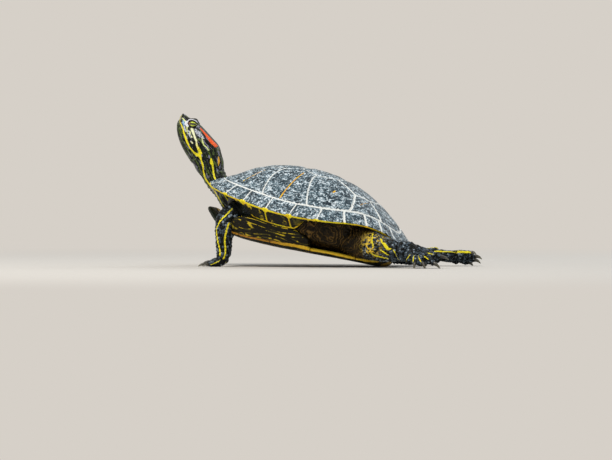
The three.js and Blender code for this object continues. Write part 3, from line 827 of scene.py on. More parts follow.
def segment_distance(x, y, a, b):
    (ax, ay), (bx, by) = a, b
    t = np.clip(((x - ax) * (bx - ax) + (y - ay) * (by - ay)) / ((bx - ax) ** 2 + (by - ay) ** 2), 0, 1)
    return np.hypot(x - ax - t * (bx - ax), y - ay - t * (by - ay))


def mitred(border):
    """Move at each point of a closed outline that takes all its sides inwards by 1 mm."""
    side = units(np.roll(border, -1, axis=0) - border)
    inward = np.stack([-side[:, 1], side[:, 0]], -1)
    bisector = units(inward + np.roll(inward, 1, axis=0))
    return bisector / np.maximum(dots(bisector, inward), 0.4)[:, None]


def plate_plan(border, mitre):
    """Plan points of a plate: its outline, three lines that follow it inside, then an even grid."""
    inner = []
    for depth in EDGE_LINES:
        moved = border + mitre * depth
        gap, within = border_distance(moved, border)
        inner.append(moved[within & (gap > depth * 0.93)])
    low, high = border.min(0), border.max(0)
    rows = np.arange(low[1], high[1], PLATE_GRID * 0.866)
    grid = np.array([
        (x + (k % 2) * PLATE_GRID / 2, y)
        for k, y in enumerate(rows) for x in np.arange(low[0], high[0], PLATE_GRID)
    ])
    gap, within = border_distance(grid, border)
    return np.vstack([border, *inner, grid[within & (gap > 1.45)]])


def plate_relief(flat, gap, keeled):
    """Rounded edge, worn growth rings and a low keel down the middle plates, in millimetres."""
    worn = ripple(flat, 9, 3.1) * 0.22 + ripple(flat, 2.3, 7.7) * 0.1
    rings = wave(gap + ripple(flat, 14, 1.3) * 1.2, 2.5) * ramp(1.2, 2.6, gap)
    relief = -0.62 * (1 - ramp(0, 1.1, gap)) + 0.35 * ramp(0.6, 7, gap)
    relief += rings * 0.085 * (1 - 0.6 * ramp(7, 14, gap)) + worn * ramp(0.4, 2, gap)
    if keeled:
        relief += 0.55 * bump(flat[:, 1], 0, 2.6) * ramp(1, 6, gap)
    return relief


def plate_piece(name, corners, materials):
    """One closed plate: rings and a rounded edge above, plain beneath."""
    border = plate_border(corners)
    mitre = mitred(border)
    border = border + mitre * PLATE_GAP
    loop, whole = loop_pairs(len(border)), [list(range(len(border)))]
    plan = [Vector(p) for p in plate_plan(border, mitre).tolist()]
    top, base = (delaunay_2d_cdt(part, loop, whole, 1, 1e-5) for part in (plan, plan[:len(border)]))
    upper, lower = (np.array([tuple(v) for v in made[0]]) for made in (top, base))
    gap, _ = border_distance(upper, border)
    gap[:len(border)] = 0
    x, y = upper.T
    flat = in_plan(x, y)
    rise, fall = (dome_height(*dome_place(*part.T)) for part in (upper, lower))
    rise = rise + plate_relief(flat, gap, name.startswith("vertebral"))
    points = np.vstack([np.column_stack([upper, rise]), np.column_stack([lower, fall - PLATE_THICKNESS])])
    start = len(upper)
    faces = [tuple(f) for f in top[2]] + [tuple(start + i for i in f[::-1]) for f in base[2]]
    faces += [(j, i, start + i, start + j) for i, j in loop]
    piece = raw_object(f"shell_{name}", shell.out(points), faces)
    gold = np.full(len(x), FAR)
    if name.startswith("costal"):
        bar_start, bar_end, half = COSTAL_BARS[name[-1]]
        bend = ripple(flat, 3.0, 5.0) * 0.5
        gold = segment_distance(x, -np.abs(y) + bend, bar_start, bar_end) - half - bend * 0.25
    store(piece.data, seam=np.concatenate([seam_mark(gap, x), np.zeros(len(lower))]),
          gold=np.concatenate([gold, np.full(len(lower), FAR)]))
    finish_piece(piece, materials, [name])


def edge_angle(u, share):
    """Angle of a place along the edge plates; whole numbers are seams, share runs inside to rim."""
    seams = np.arange(len(SEAM_TOP))
    return mix(np.interp(u, seams, SEAM_TOP), np.interp(u, seams, SEAM_RIM), share)


# Rows round an edge plate's section, face by face: reach q, or for the lip its share of the way down.
EDGE_FACES = {
    "top": [0.8805, 0.8828, 0.886, 0.892, 0.902, 0.915, 0.93, 0.945, 0.96, 0.975, 0.99],
    "lip": [0.0, 0.2, 0.5, 0.8, 1.0],
    "under": [0.985, 0.97, 0.955, 0.94, 0.925, 0.91, 0.895, 0.88, 0.865, 0.852],
    "inner": [0.868, 0.879],
}
EDGE_ROWS = [(face, step) for face, steps in EDGE_FACES.items() for step in steps]
LIP_ROW, INSIDE_ROW = EDGE_ROWS.index(("lip", 0.5)), EDGE_ROWS.index(("under", 0.852))
EDGE_SHARES = np.clip([(1.0 if f == "lip" else q) - RIM_START for f, q in EDGE_ROWS], 0, 0.12) / 0.12


def edge_point(face, step, turn):
    q, phi = (1.0 if face == "lip" else step), abs(turn)
    if face == "top":
        level = dome_height(q, phi)
    elif face == "lip":
        level, q = rim_height(phi) - 1.6 * step, 1 + 0.004 * sin(pi * step)
    elif face == "under":
        level = under_rim(q, phi)
    else:
        level = dome_height(q, phi) - 0.9 - 2.0 * ramp(0.88, 0.866, q)
    return shell_point(q, turn, level)


def edge_gold(u, nearest, arc, across, bend):
    """Distance from the bright line along the rim, its knobs at the seams and the outlines beneath."""
    from_lip, place = arc - arc[:, [LIP_ROW]], np.abs(u)
    knob = np.hypot(across * 0.75, from_lip - 0.9) - 2.3 * (1 - 0.45 * ramp(6.5, 8, place))[:, None]
    knob[np.abs(nearest) < 2] = FAR
    lines = np.minimum(np.abs(arc - arc[:, [INSIDE_ROW]] + 0.9) - 0.75, across - 0.55)
    width = mix(0.12, 0.55, ramp(1.6, 2.3, place)) - 0.25 * ramp(7, 9, place)
    gold = np.minimum(np.abs(from_lip - 0.8) - width[:, None] - bend * 0.2, knob)
    return np.where(from_lip > 1.2, np.minimum(gold, lines), gold)


def edge_piece(name, u, nearest, angle_of, sign, materials):
    """A run of edge plates as one closed body with a groove at each seam; nearest is each place's seam."""
    turns, own = (np.array([angle_of(at, share) for share in EDGE_SHARES]).T for at in (u, nearest))
    rings = np.array([
        [edge_point(*row, turn) for row, turn in zip(EDGE_ROWS, section)] for section in turns
    ])
    steps = np.linalg.norm(np.diff(rings, axis=1), axis=2).cumsum(1)
    arc = np.concatenate([np.zeros((len(u), 1)), steps], 1)
    across = np.abs(turns - own) * outline(np.abs(turns))
    seam = np.minimum(across, arc)
    normal = np.cross(np.gradient(rings, axis=0), np.gradient(rings, axis=1))
    normal *= sign / np.linalg.norm(normal, axis=2)[..., None]
    flat = rings.reshape(-1, 3)
    worn = (ripple(flat, 8, 2.2) * 0.18 + ripple(flat, 2.2, 6.1) * 0.08).reshape(seam.shape)
    bend = ripple(flat, 12, 4.0).reshape(seam.shape)
    relief = -0.6 * (1 - ramp(0, 1.1, across)) + 0.25 * ramp(0.5, 5, seam) + worn * ramp(0.4, 2, seam)
    relief += 0.08 * wave(seam + bend, 2.4) * ramp(1.2, 2.6, seam)
    top = slice(len(EDGE_FACES["top"]))
    relief[:, top] -= 0.6 * (1 - ramp(0, 1.1, arc[:, top]))
    relief[:, INSIDE_ROW:] *= 0.2
    points, faces = loft(list(rings + normal * relief[..., None]))
    piece = raw_object(f"shell_{name}", shell.out(points), faces)
    gold = edge_gold(u, nearest, arc, across, bend)
    store(piece.data, seam=np.concatenate([seam_mark(seam.ravel(), flat[:, 0]), [FAR, FAR]]),
          gold=np.concatenate([gold.ravel(), [FAR, FAR]]))
    finish_piece(piece, materials, [name])
    for face in piece.data.polygons:
        rows = [i % len(EDGE_ROWS) for i in face.vertices if i < seam.size]
        face.material_index = int(min(rows) >= LIP_ROW)


def edge_pieces(materials):
    """The neck plate and twelve edge plates a side, in runs between the limbs."""
    fine = np.array([0.0, 0.012, 0.03, 0.06, *np.linspace(0.11, 0.89, 15), 0.94, 0.97, 0.988])
    middle = np.sort(np.concatenate([[-1.0], 1 - fine[1:9], fine[1:9] - 1, np.linspace(-0.5, 0.5, 9), [1.0]]))
    edge_piece("nuchal", middle, np.sign(middle), lambda u, _: SEAM_TOP[0] * u, 1, materials)
    for side, word in ((1, "right"), (-1, "left")):
        def angle_of(u, share, side=side):
            return side * edge_angle(u, share)

        for group, (first, last) in EDGE_GROUPS.items():
            u = np.concatenate([*(k + fine for k in range(first, last)), [last]])
            edge_piece(f"marginals_{word}_{group}", u, np.round(u), angle_of, side, materials)


# ---------------------------------------------------------------- where a skin point lies
FORMS = {"head": 0, "neck": 1, "tail": 2, "fore": 3, "hind": 4, "hand": 5, "foot": 6, "trunk": 7}


def skin_places(points):
    """Form, length along, angle, girth and side for every skin point; the trunk is what is left."""
    count = len(points)
    found = {
        "form": np.full(count, FORMS["trunk"]), "along": np.zeros(count), "angle": np.zeros(count),
        "girth": np.full(count, 10.0), "height": np.full(count, 1.6), "side": np.ones(count),
        "toe": np.full(count, -1),
    }

    def claim(tube, form, side=1, slack=0.0, toe=-1):
        reach = tube.half.max() + 4
        low, high = tube.centre.min(0) - reach, tube.centre.max(0) + reach
        near = np.nonzero(((points > low) & (points < high)).all(1))[0]
        if not len(near):
            return
        along, angle, height, girth = tube.locate(points[near])
        better = height - slack < found["height"][near]
        rows = near[better]
        for key, value in (("along", along), ("angle", angle), ("girth", girth), ("height", height - slack)):
            found[key][rows] = value[better]
        found["form"][rows], found["side"][rows], found["toe"][rows] = FORMS[form], side, toe

    claim(tail_tube, "tail")
    claim(neck_tube, "neck")
    for name, tube in limb_tubes.items():
        side = -1 if name.endswith("left") else 1
        claim(tube, name[:4], side, 0.6)
        paw = "hand" if name.startswith("fore") else "foot"
        claim(feet[name].palm, paw, side)
        for k, toe in enumerate(feet[name].toe_tubes):
            claim(toe, paw, side, 0.2, k)
    folded = np.sign(found["angle"]) * (180 - np.abs(found["angle"]))
    under = (found["form"] == FORMS["neck"]) & (np.abs(found["angle"]) > 90)
    found["angle"] = np.where(under, folded, found["angle"])
    found["local"] = head.into(points)
    t, v, w = found["local"].T
    (middle, tall), wide = head_section(t), cheek_line(t)
    across, rise = v / wide, (w - middle) / tall
    is_head = (t > -1.0) & (t < 48) & (np.hypot(across, rise) < 1.6)
    angle = np.degrees(np.arctan2(rise, np.abs(across)))
    on_head = {"form": FORMS["head"], "along": t, "angle": angle, "girth": (tall + wide) / 2}
    for key, value in {**on_head, "side": np.sign(v)}.items():
        found[key] = np.where(is_head, value, found[key])
    found["on"] = {name: found["form"] == code for name, code in FORMS.items()}
    return found


def stripe(place, rows, only, angle):
    """Signed distance in millimetres from a painted line of [length, angle, half-width] rows."""
    s, a, w = np.array(rows, float).T
    at = np.clip(place["along"], s[0], s[-1])
    gap = (angle - np.interp(at, s, a) + 180) % 360 - 180
    away = np.hypot(np.radians(gap) * place["girth"], place["along"] - at) - np.interp(at, s, w)
    return np.where(only, away, FAR)


# Painted lines as [length, angle, half-width] rows, by colour and by the form that bears them. On the
# head the length runs from nape to snout and the angle from throat (-90) to crown (90); on neck and
# limbs both follow the form's own path.
LINES = {
    "red": {
        "head": [[[-3, 67, 2.5], [1, 64, 2.9], [4, 61, 2.8], [9, 62, 2.3], [14.8, 62, 1.5],
                  [21.5, 62, 0.75]]],
    },
    "yellow": {
        "head": [
            [[-6, -13, 1.8], [-3, -12, 2.2], [-1, -14, 2.3], [1, -19, 1.7], [3.5, -24, 0.95], [7, -26, 0.7],
             [10.2, -27, 0.75], [14.8, -25, 1.1], [19.2, -22, 1.15], [24.4, -20, 0.95], [28.1, -16, 0.7],
             [33.1, -16, 0.55], [37.6, -26, 0.55], [40, -24, 0.3]],
            [[-4, -9, 1.9], [-1.7, -7, 1.9], [2.6, -3, 1.4], [7.4, 0, 0.9], [12.1, 9, 0.9],
             [18.6, 16, 1.05], [24.3, 22, 1.3]],
            [[17.4, 3, 0.7], [18.4, 4, 0.4]],
            [[12.4, -8, 0.8], [13.8, -8, 0.5]],
        ],
        "neck": [
            [[20, -40, 0.5], [40, -41, 0.6], [50.2, -42, 0.85], [56.7, -44, 0.95], [62.6, -32, 0.8],
             [67, -20, 0.85], [70, -18, 1.0], [73, -17, 0.75], [76, -14, 1.1], [79, -13, 2.0],
             [88, -12, 2.2]],
            [[20, 4, 0.6], [44, 6, 0.8], [52.5, 9, 0.9], [59.5, 17, 0.85], [64.6, 19, 1.0], [67.4, 18, 1.5],
             [70.5, 22, 0.7]],
        ],
        "fore": [
            [[22, 66, 0.5], [29.6, 81, 0.8], [34, 105, 0.8], [40.4, 134, 0.8], [48.3, 124, 0.75],
             [55.4, 106, 0.7], [64.7, 97, 0.7]],
            [[33, 52, 0.4], [34.9, 54, 0.7], [40.9, 59, 0.8], [47.7, 60, 0.8], [56.7, 55, 0.75],
             [66, 54, 0.7]],
            [[32.6, 40, 0.5], [34.4, 34, 1.6], [36.4, 22, 0.9], [39, 22, 0.5]],
            [[20, -60, 0.6], [44, -70, 0.7], [66, -80, 0.6]],
        ],
        "hand": [
            [[0, 60, 0.65], [2.4, 12, 0.7], [9.4, -18, 0.65], [13, -28, 0.5]],
            [[0, 118, 0.5], [5, 100, 0.55], [12, 84, 0.5]],
        ],
        "hind": [
            [[29, 26, 0.4], [31, 37, 0.8], [34.7, 67, 1.1], [37, 80, 1.0], [38.9, 92, 0.5]],
            [[41, 44, 0.4], [43, 50, 1.1], [45.5, 63, 0.8], [48.2, 70, 1.6], [50.6, 82, 1.9], [53, 90, 1.0],
             [55, 88, 0.5]],
            [[46, 100, 0.5], [50, 112, 0.8], [53, 122, 0.4]],
            [[57.4, 92, 0.5], [59, 106, 0.8], [61.4, 148, 0.7], [62.6, 160, 0.3]],
            [[36, 122, 0.4], [42, 132, 0.7], [52, 144, 0.6]],
            [[20, -70, 0.7], [40, -90, 0.9], [60, -100, 0.6]],
        ],
    },
    "pale": {
        "head": [
            [[22.2, -7, 0.3], [25.7, 0, 0.5], [28.1, 7, 0.65], [30.7, 13, 0.7], [34.1, 20, 0.75],
             [37.6, 13, 0.7]],
            [[-5, 23, 0.4], [-1.4, 25, 0.4], [2.5, 26, 0.5], [5.5, 24, 0.75], [8.4, 27, 0.8],
             [12.2, 35, 0.6]],
            [[20.2, 4, 0.3], [21.8, 6, 0.6], [23.4, 9, 0.3]],
        ],
    },
    # Pale blue sheen on the snout and in a thin line along the upper head: a painted reflection of the sky on
    # wet skin.
    "painted_sheen": {
        "head": [
            [[29.6, -5, 0.4], [31.4, -2, 0.9], [33.5, 3, 1.1], [35.2, 8, 0.8]],
            [[22.4, 50, 0.25], [18, 51, 0.4], [12, 50, 0.35], [6, 47, 0.45], [0, 49, 0.35]],
        ],
    },
    # White flecks behind and below the eye: painted highlights on wet skin.
    "speckled_glints": {
        "head": [
            [[11.5, 40, 0.9], [14, 38, 2.1], [18, 36, 2.5], [21.6, 34, 1.4]],
            [[24.6, -8, 0.5], [27.4, -9, 0.9], [30, -5, 0.8]],
            [[17.6, -3, 0.4], [21, -1, 0.8], [24.2, 4, 0.6]],
        ],
    },
    "green": {
        "head": [
            [[-6, -31, 0.5], [-2.9, -33, 0.5], [3.9, -41, 0.5], [12, -43, 0.45], [22.6, -44, 0.45],
             [31, -46, 0.3]],
            [[-4, -62, 0.6], [8, -64, 0.6], [20, -68, 0.5], [32, -66, 0.4]],
            [[25.2, -36, 0.4], [27.6, -33, 0.9], [28.6, -32, 0.3]],
            [[14, 82, 0.3], [24, 80, 0.5], [33, 74, 0.5], [39, 60, 0.4]],
            [[30, -24, 0.25], [34, -26, 0.5], [38, -34, 0.4]],
            [[-4, 84, 0.5], [6, 86, 0.5], [13, 87, 0.4]],
        ],
        "neck": [
            [[20, -62, 0.4], [58, -56, 0.4], [69.8, -40, 0.45], [76.3, -39, 0.5], [81, -45, 0.5],
             [88, -54, 0.5]],
            [[20, -76, 0.5], [56, -74, 0.5], [88, -70, 0.6]],
            [[70, 22, 0.6], [74, 24, 0.5], [78.2, 23, 0.45], [88, 20, 0.45]],
            [[40, -6, 0.3], [56, -8, 0.45], [64.8, -11, 0.55], [68.5, -4, 0.2]],
            [[44, -20, 0.3], [54, -24, 0.4], [60, -18, 0.4]],
            [[30, 75, 0.5], [55, 76, 0.5], [88, 74, 0.45]],
        ],
    },
    "orange": {
        "neck": [[[62.4, 46, 0.4], [65, 50, 1.1], [68, 54, 1.15], [70.6, 57, 0.4]]],
    },
}
RIGHT_HIND_LINE = [[32, 30, 0.8], [44, 22, 0.95], [56, 17, 0.95], [76, 15, 0.8]]


# ---------------------------------------------------------------- skin relief and markings
# The raised head keeps its eyes nearly level: rearward and up in their plane, in length and rise.
EYE_LINE = np.array([-0.56, 0.83])
EYE_UP = np.array([0.83, 0.56])
OPENING = np.array([28.46, 5.81])
LID_LONG = 5.0
LID_TALL = 2.2
NOSTRIL = np.array([37.6, 4.6, 0.2])
EAR = np.array([9.0, -0.6])
POCKET_MIDDLE = np.array([37, -46, -15])


def eye_opening(local):
    """Signed distance in the eye's own plane to the lids' almond, and place along and across it."""
    flat = local[:, [0, 2]] - OPENING
    x, y = flat @ EYE_LINE, flat @ EYE_UP
    lens = LID_TALL * (1 - np.minimum(np.abs(x) / LID_LONG, 1.6) ** 2)
    slope = np.hypot(1, 2 * LID_TALL * x / LID_LONG ** 2)
    return np.maximum((np.abs(y) - lens) / slope, np.abs(x) - LID_LONG), x, y


def nostril_gap(local):
    t, v, w = local.T
    return np.linalg.norm(np.stack([t, np.abs(v), w], -1) - NOSTRIL, axis=1)


def head_relief(place):
    """Outward relief of the head in millimetres: beak, nostrils, cheeks and ear."""
    t, v, w = place["local"].T
    gap = w - mouth_line(t)
    front = ramp(20.5, 22.5, t)
    relief = -0.75 * bump(gap, 0, 0.42) * front
    relief += front * (0.32 * ramp(0.3, 1.2, gap) * (1 - ramp(2.2, 4.5, gap)))
    relief -= front * 0.3 * ramp(-2.6, -0.7, gap) * (1 - ramp(-0.5, 0.2, gap))
    nostril = nostril_gap(place["local"])
    relief += 0.25 * bump(nostril, 1.3, 0.5) - 1.1 * bump(nostril, 0, 0.7)
    ear = np.hypot(t - EAR[0], w - EAR[1])
    relief += np.where(np.abs(v) > 8, -0.3 * (1 - ramp(3.6, 4.6, ear)) + 0.22 * bump(ear, 5.1, 0.7), 0)
    return relief + 0.35 * bump(place["angle"], 50, 14) * ramp(30, 33, t) * (1 - ramp(37, 40, t))


def open_lids(points, place):
    """Wrap the skin round both eyeballs and part it along the lids."""
    local, on_head = place["local"].copy(), place["on"]["head"]
    flat = np.array([1, 1, EYE_FLAT])
    for side in SIDES:
        centre = EYE_PLACE * side
        from_eye = (local - centre) / flat
        distance = np.linalg.norm(from_eye, axis=1)
        near = (distance < 7.5) & (from_eye[:, 1] * side[1] > -0.8) & on_head
        edge = eye_opening(local)[0]
        lid = EYE_RADIUS + 0.26 + 0.24 * bump(edge, 0.7, 0.5) - 0.1 * bump(edge, 1.9, 0.5)
        closed = np.maximum(lid, mix(distance, lid, 1 - ramp(0.8, 4.0, edge)))
        target = mix(3.1, closed, ramp(-0.28, 0.12, edge))
        pull = near * (1 - ramp(6.4, 7.5, distance))
        scale = mix(1.0, target / np.maximum(distance, 0.1), pull)
        local = np.where(near[:, None], centre + from_eye * scale[:, None] * flat, local)
    points = points.copy()
    points[on_head] = head.out(local[on_head])
    return points


def pocket_share(points, place):
    """1 on the loose skin round the thigh's root, 0 on the scaled limb."""
    thigh = place["on"]["hind"] * (1 - ramp(24, 32, place["along"]))
    return np.where(place["on"]["trunk"], ramp(-20, 0, shell.into(points)[:, 0]), thigh)


def pocket_folds(points):
    """Rounds of loose skin about the thigh's root, from -1 in a furrow to 1 on a fold."""
    reach = np.linalg.norm(shell.into(points) * [1, 1, 1.25] - POCKET_MIDDLE, axis=1)
    return wave(reach + 6.5 * ripple(points, 9.0, 1.0) + 1.8 * ripple(points, 2.9, 6.0), 3.1)


def skin_relief(points, place):
    """Folds of the neck and pockets, toe bands and small scales, in millimetres."""
    on, along, angle = (place[k] for k in ("on", "along", "angle"))
    coarse, fine = ripple(points, 7.0, 1.0), ripple(points, 2.2, 9.0)
    lengthwise = np.sin(np.radians(angle) * 13 + coarse * 3) * 0.2 * (1 - 0.6 * ramp(66, 84, along))
    nape = bump(np.abs(angle), 95, 34) * (1 - ramp(50, 64, along))
    around = wave(along + 1.6 * coarse, 3.8) * (0.05 + 0.4 * nape)
    relief = on["neck"] * (lengthwise + around + fine * 0.14)
    creases = wave(along + 1.5 * coarse, 3.4) * 0.16
    relief += (on["fore"] | on["hind"]) * (creases + fine * 0.2 - SCALE_DEPTH)
    bands = np.abs(np.sin(pi * along / 2.3)) ** 0.7 * 0.3 - 0.12
    relief += (on["hand"] | on["foot"]) * np.where(place["toe"] >= 0, bands, fine * 0.2 - SCALE_DEPTH)
    relief += on["tail"] * (wave(along, 2.6) * 0.18 + fine * 0.12)
    relief += pocket_share(points, place) * (0.45 * pocket_folds(points) + 0.4 * coarse)
    relief += on["head"] * (fine * 0.07 + coarse * 0.1 * ramp(8, -2, along))
    return relief + np.where(on["head"], head_relief(place), 0)


def flow_of(place):
    """Millimetre coordinates that run along each form, so that streaks follow the body."""
    turn = np.radians(place["angle"])
    around = [place["girth"] * np.cos(turn), place["girth"] * np.sin(turn)]
    return np.stack([place["along"] + 40.0 * place["form"], *around], -1)


def with_toe_lines(place, nearest):
    """The distance from yellow with the right hind leg's line and a line down each toe."""
    on, toe, angle, girth = (place[k] for k in ("on", "toe", "angle", "girth"))
    right = place["side"] > 0
    thigh = on["hind"] & right
    nearest = np.where(thigh, stripe(place, RIGHT_HIND_LINE, thigh, angle), nearest)
    top = np.where(on["foot"] & ~right, -50.0, 90.0)
    ridge = np.abs(np.radians(angle - top)) * girth - 0.45 + 0.8 * ramp(12, 19, place["along"])
    nearest = np.where((on["foot"] | on["hand"]) & (toe >= 0), ridge, nearest)
    edge = np.radians(180 - np.abs(angle)) * girth - 1.0
    return np.where(on["foot"] & right & (toe <= 0), np.minimum(edge, nearest), nearest)


def paint_skin(mesh, points, place):
    """Store what the skin's material reads: signed distances in millimetres from lines, and shares."""
    on, along, angle, side = (place[k] for k in ("on", "along", "angle", "side"))
    outer = angle * -side
    for colour, by_form in LINES.items():
        nearest = np.full(len(points), FAR)
        for form, lines in by_form.items():
            only = on[form] & (place["toe"] < 0)
            for rows in lines:
                turn = angle if form in ("head", "neck") else outer
                nearest = np.minimum(nearest, stripe(place, rows, only, turn))
        if colour == "yellow":
            nearest = with_toe_lines(place, nearest)
        store(mesh, **{f"mark_{colour}": nearest})
    t, v, w = place["local"].T
    edge, x, y = eye_opening(place["local"])
    # The pale band round each lid, over the top and at both corners, is a painted highlight.
    ends = np.maximum(ramp(-2.4, -4.2, x), ramp(3.0, 4.6, x))
    pale = np.abs(edge - 1.5) - mix(0.4, 0.75, ends) + 2.0 * ramp(0.6, -0.6, y) * (1 - ends)
    pocket = pocket_share(points, place)
    thigh = bump(along, 35, 8.5) * ramp(10, 30, outer) * (1 - ramp(120, 150, outer))
    store(
        mesh,
        lid=np.where(on["head"] & (np.abs(v) > 5.5), edge, FAR),
        lid_pale=np.where(on["head"], pale + 1.6 * ramp(5.4, 4.2, np.abs(v)), FAR),
        nostril=np.where(on["head"], nostril_gap(place["local"]), FAR),
        beak=on["head"] * bump(w - mouth_line(t), 0, 1.6) * ramp(27, 33, t),
        crown=on["head"] * ramp(64, 76, angle) * ramp(-4, 0, t) * (1 - ramp(22, 28, t)),
        cream=on["head"] * ramp(3, 14, t) * ramp(-15, -8, angle),
        face=on["head"] | on["neck"],
        flow=flow_of(place),
        limb=(on["fore"] | on["hind"] | on["hand"] | on["foot"]) * (1 - pocket),
        pocket=pocket,
        fold=pocket_folds(points),
        mottle=on["hind"] * thigh * (side < 0),
        web=on["foot"] * ramp(0.3, 0.6, place["height"]) * ramp(4, 9, along),
    )


# ---------------------------------------------------------------- materials
def srgb(r, g, b):
    channels = np.array([r, g, b]) / 255
    return (*np.where(channels <= 0.04045, channels / 12.92, ((channels + 0.055) / 1.055) ** 2.4), 1.0)


class Nodes:
    """A node tree, with short names for the few kinds of node it needs."""

    def __init__(self, tree):
        self.tree = tree

    def node(self, kind, inputs=(), **settings):
        made = self.tree.nodes.new(f"ShaderNode{kind}")
        for key, value in settings.items():
            setattr(made, key, value)
        for key, value in dict(inputs).items():
            self.put(made.inputs[key], value)
        return made

    def put(self, socket, value):
        if isinstance(value, bpy.types.NodeSocket):
            self.tree.links.new(value, socket)
        else:
            socket.default_value = value

    def calc(self, operation, a, b=0.0, extra=0.0):
        return self.node("Math", {0: a, 1: b, 2: extra}, operation=operation).outputs[0]

    def backdrop_rays(self):
        """1 for the rays that see the backdrop's own colour: the camera's, off gloss and through glass."""
        rays = self.node("LightPath").outputs
        bounced = self.calc("MAXIMUM", rays["Is Glossy Ray"], rays["Is Transmission Ray"])
        return self.calc("MAXIMUM", rays["Is Camera Ray"], bounced)


class Paint(Nodes):
    """One material's nodes; a colour is a socket, or display values from 0 to 255."""

    def __init__(self, name, **settings):
        self.material = bpy.data.materials.new(name)
        self.material.use_nodes = True
        super().__init__(self.material.node_tree)
        self.shader = self.tree.nodes["Principled BSDF"]
        for socket, value in settings.items():
            self.shader.inputs[socket.replace("_", " ")].default_value = value
        self.where = self.node("TexCoord").outputs["Object"]
        self.colour = None

    def mark(self, name, output="Fac"):
        return self.node("Attribute", attribute_name=name).outputs[output]

    def times(self, *values):
        return reduce(lambda a, b: self.calc("MULTIPLY", a, b), values)

    def plus(self, *values):
        return reduce(lambda a, b: self.calc("ADD", a, b), values)

    def below(self, value, edge, soft):
        """1 where a value is under an edge, easing to 0 over a soft width."""
        made = self.node("MapRange", {
            "Value": value, "From Min": edge + soft, "From Max": edge - soft, "To Min": 0.0, "To Max": 1.0,
        }, interpolation_type="SMOOTHSTEP")
        return made.outputs["Result"]

    def above(self, value, edge, soft):
        return self.below(value, edge, -soft)

    def blend(self, factor, a, b):
        made = self.node("Mix", data_type="RGBA", blend_type="MIX")
        for place, value in ((0, factor), (6, a), (7, b)):
            self.put(made.inputs[place], srgb(*value) if isinstance(value, tuple) else value)
        return made.outputs[2]

    def split(self, value, edge, soft, under, over):
        """One colour where a value is under an edge and another where it is over it."""
        return self.blend(self.above(value, edge, soft), under, over)

    def lay(self, mask, colour, share=None):
        """Paint a colour over what is there, where the mask is 1."""
        self.colour = self.blend(self.times(mask, share) if share else mask, self.colour, colour)

    def grain(self, per_mm, detail=3.0, rough=0.55, stretch=None, warp=0.0, along=None):
        """Noise at a number of grains per millimetre of the object, or of a stored set of coordinates."""
        vector = self.mark(along, "Vector") if along else self.where
        if stretch:
            vector = self.node("Mapping", {"Vector": vector, "Scale": stretch}).outputs[0]
        return self.node("TexNoise", {
            "Vector": vector, "Scale": per_mm if along else per_mm * 1000, "Detail": detail,
            "Roughness": rough, "Distortion": warp,
        }).outputs["Fac"]

    def ragged(self, value, grain, amount):
        """The value moved up and down by noise, so that an edge drawn on it wanders."""
        return self.plus(value, self.times(self.calc("SUBTRACT", grain, 0.5), amount))

    def finish(self, height, lift, worn=None, smooth=0.0, rough=1.0):
        """Raise the surface by a height, and let its roughness follow what is worn."""
        self.put(self.shader.inputs["Base Color"], self.colour)
        if worn:
            span = self.node("MapRange", {"Value": worn, "To Min": smooth, "To Max": rough})
            self.put(self.shader.inputs["Roughness"], span.outputs["Result"])
        raised = self.node("Bump", {"Height": height, "Distance": lift / 1000, "Strength": 1.0})
        self.put(self.shader.inputs["Normal"], raised.outputs[0])
        return self.material


def carapace_paint(name, bright, deep):
    """Slate horn with pale flecks in patches, growth lines, pale seams and thin lines of a bright colour."""
    paint = Paint(name, Specular_IOR_Level=0.15)
    seam, gold = paint.mark("seam"), paint.mark("gold")
    broad, patch = paint.grain(0.075, 2.0), paint.grain(0.2, 3.0, 0.6, warp=0.8)
    flecks, fine = paint.grain(0.55, 5.0, 0.72, warp=0.25), paint.grain(1.9, 3.0, 0.65)
    paint.colour = paint.split(broad, 0.5, 0.16, (34, 50, 60), (64, 84, 94))
    paint.lay(paint.above(fine, 0.54, 0.1), (20, 31, 40))
    amount = paint.ragged(flecks, patch, 0.6)
    paint.lay(paint.above(amount, 0.52, 0.03), (144, 170, 182), 0.85)
    paint.lay(paint.above(amount, 0.585, 0.035), (226, 233, 236))
    wander = paint.plus(seam, paint.times(paint.grain(0.16), 3.4))
    rings = paint.calc("SINE", paint.times(wander, 2.3))
    broken = paint.above(paint.grain(0.34), 0.54, 0.05)
    paint.lay(paint.times(paint.above(rings, 0.66, 0.16), broken), (206, 216, 220), 0.35)
    paint.lay(paint.times(paint.below(rings, -0.72, 0.14), broken), (20, 30, 40), 0.7)
    paint.lay(paint.below(paint.ragged(seam, paint.grain(0.45), 1.6), 0.62, 0.12), (240, 241, 236))
    line = paint.split(paint.grain(0.2), 0.5, 0.12, bright, deep)
    paint.lay(paint.below(paint.ragged(gold, paint.grain(0.6), 0.8), 0.0, 0.12), line)
    height = paint.plus(paint.times(flecks, 0.7), paint.times(fine, 0.5), paint.times(rings, 0.12))
    return paint.finish(height, 0.4, flecks, 0.3, 0.55)


def veined(paint, along, base):
    """Nested wavy lines of yellow and olive over dark horn, fading in and out."""
    waves = paint.calc("SINE", paint.times(along, 34.0))
    tint = paint.split(paint.grain(0.11), 0.52, 0.05, (82, 76, 24), (238, 206, 40))
    shown = paint.times(paint.above(paint.grain(0.16, 2.0), 0.45, 0.06), 0.9)
    return paint.blend(paint.times(paint.above(waves, 0.72, 0.14), shown), base, tint)


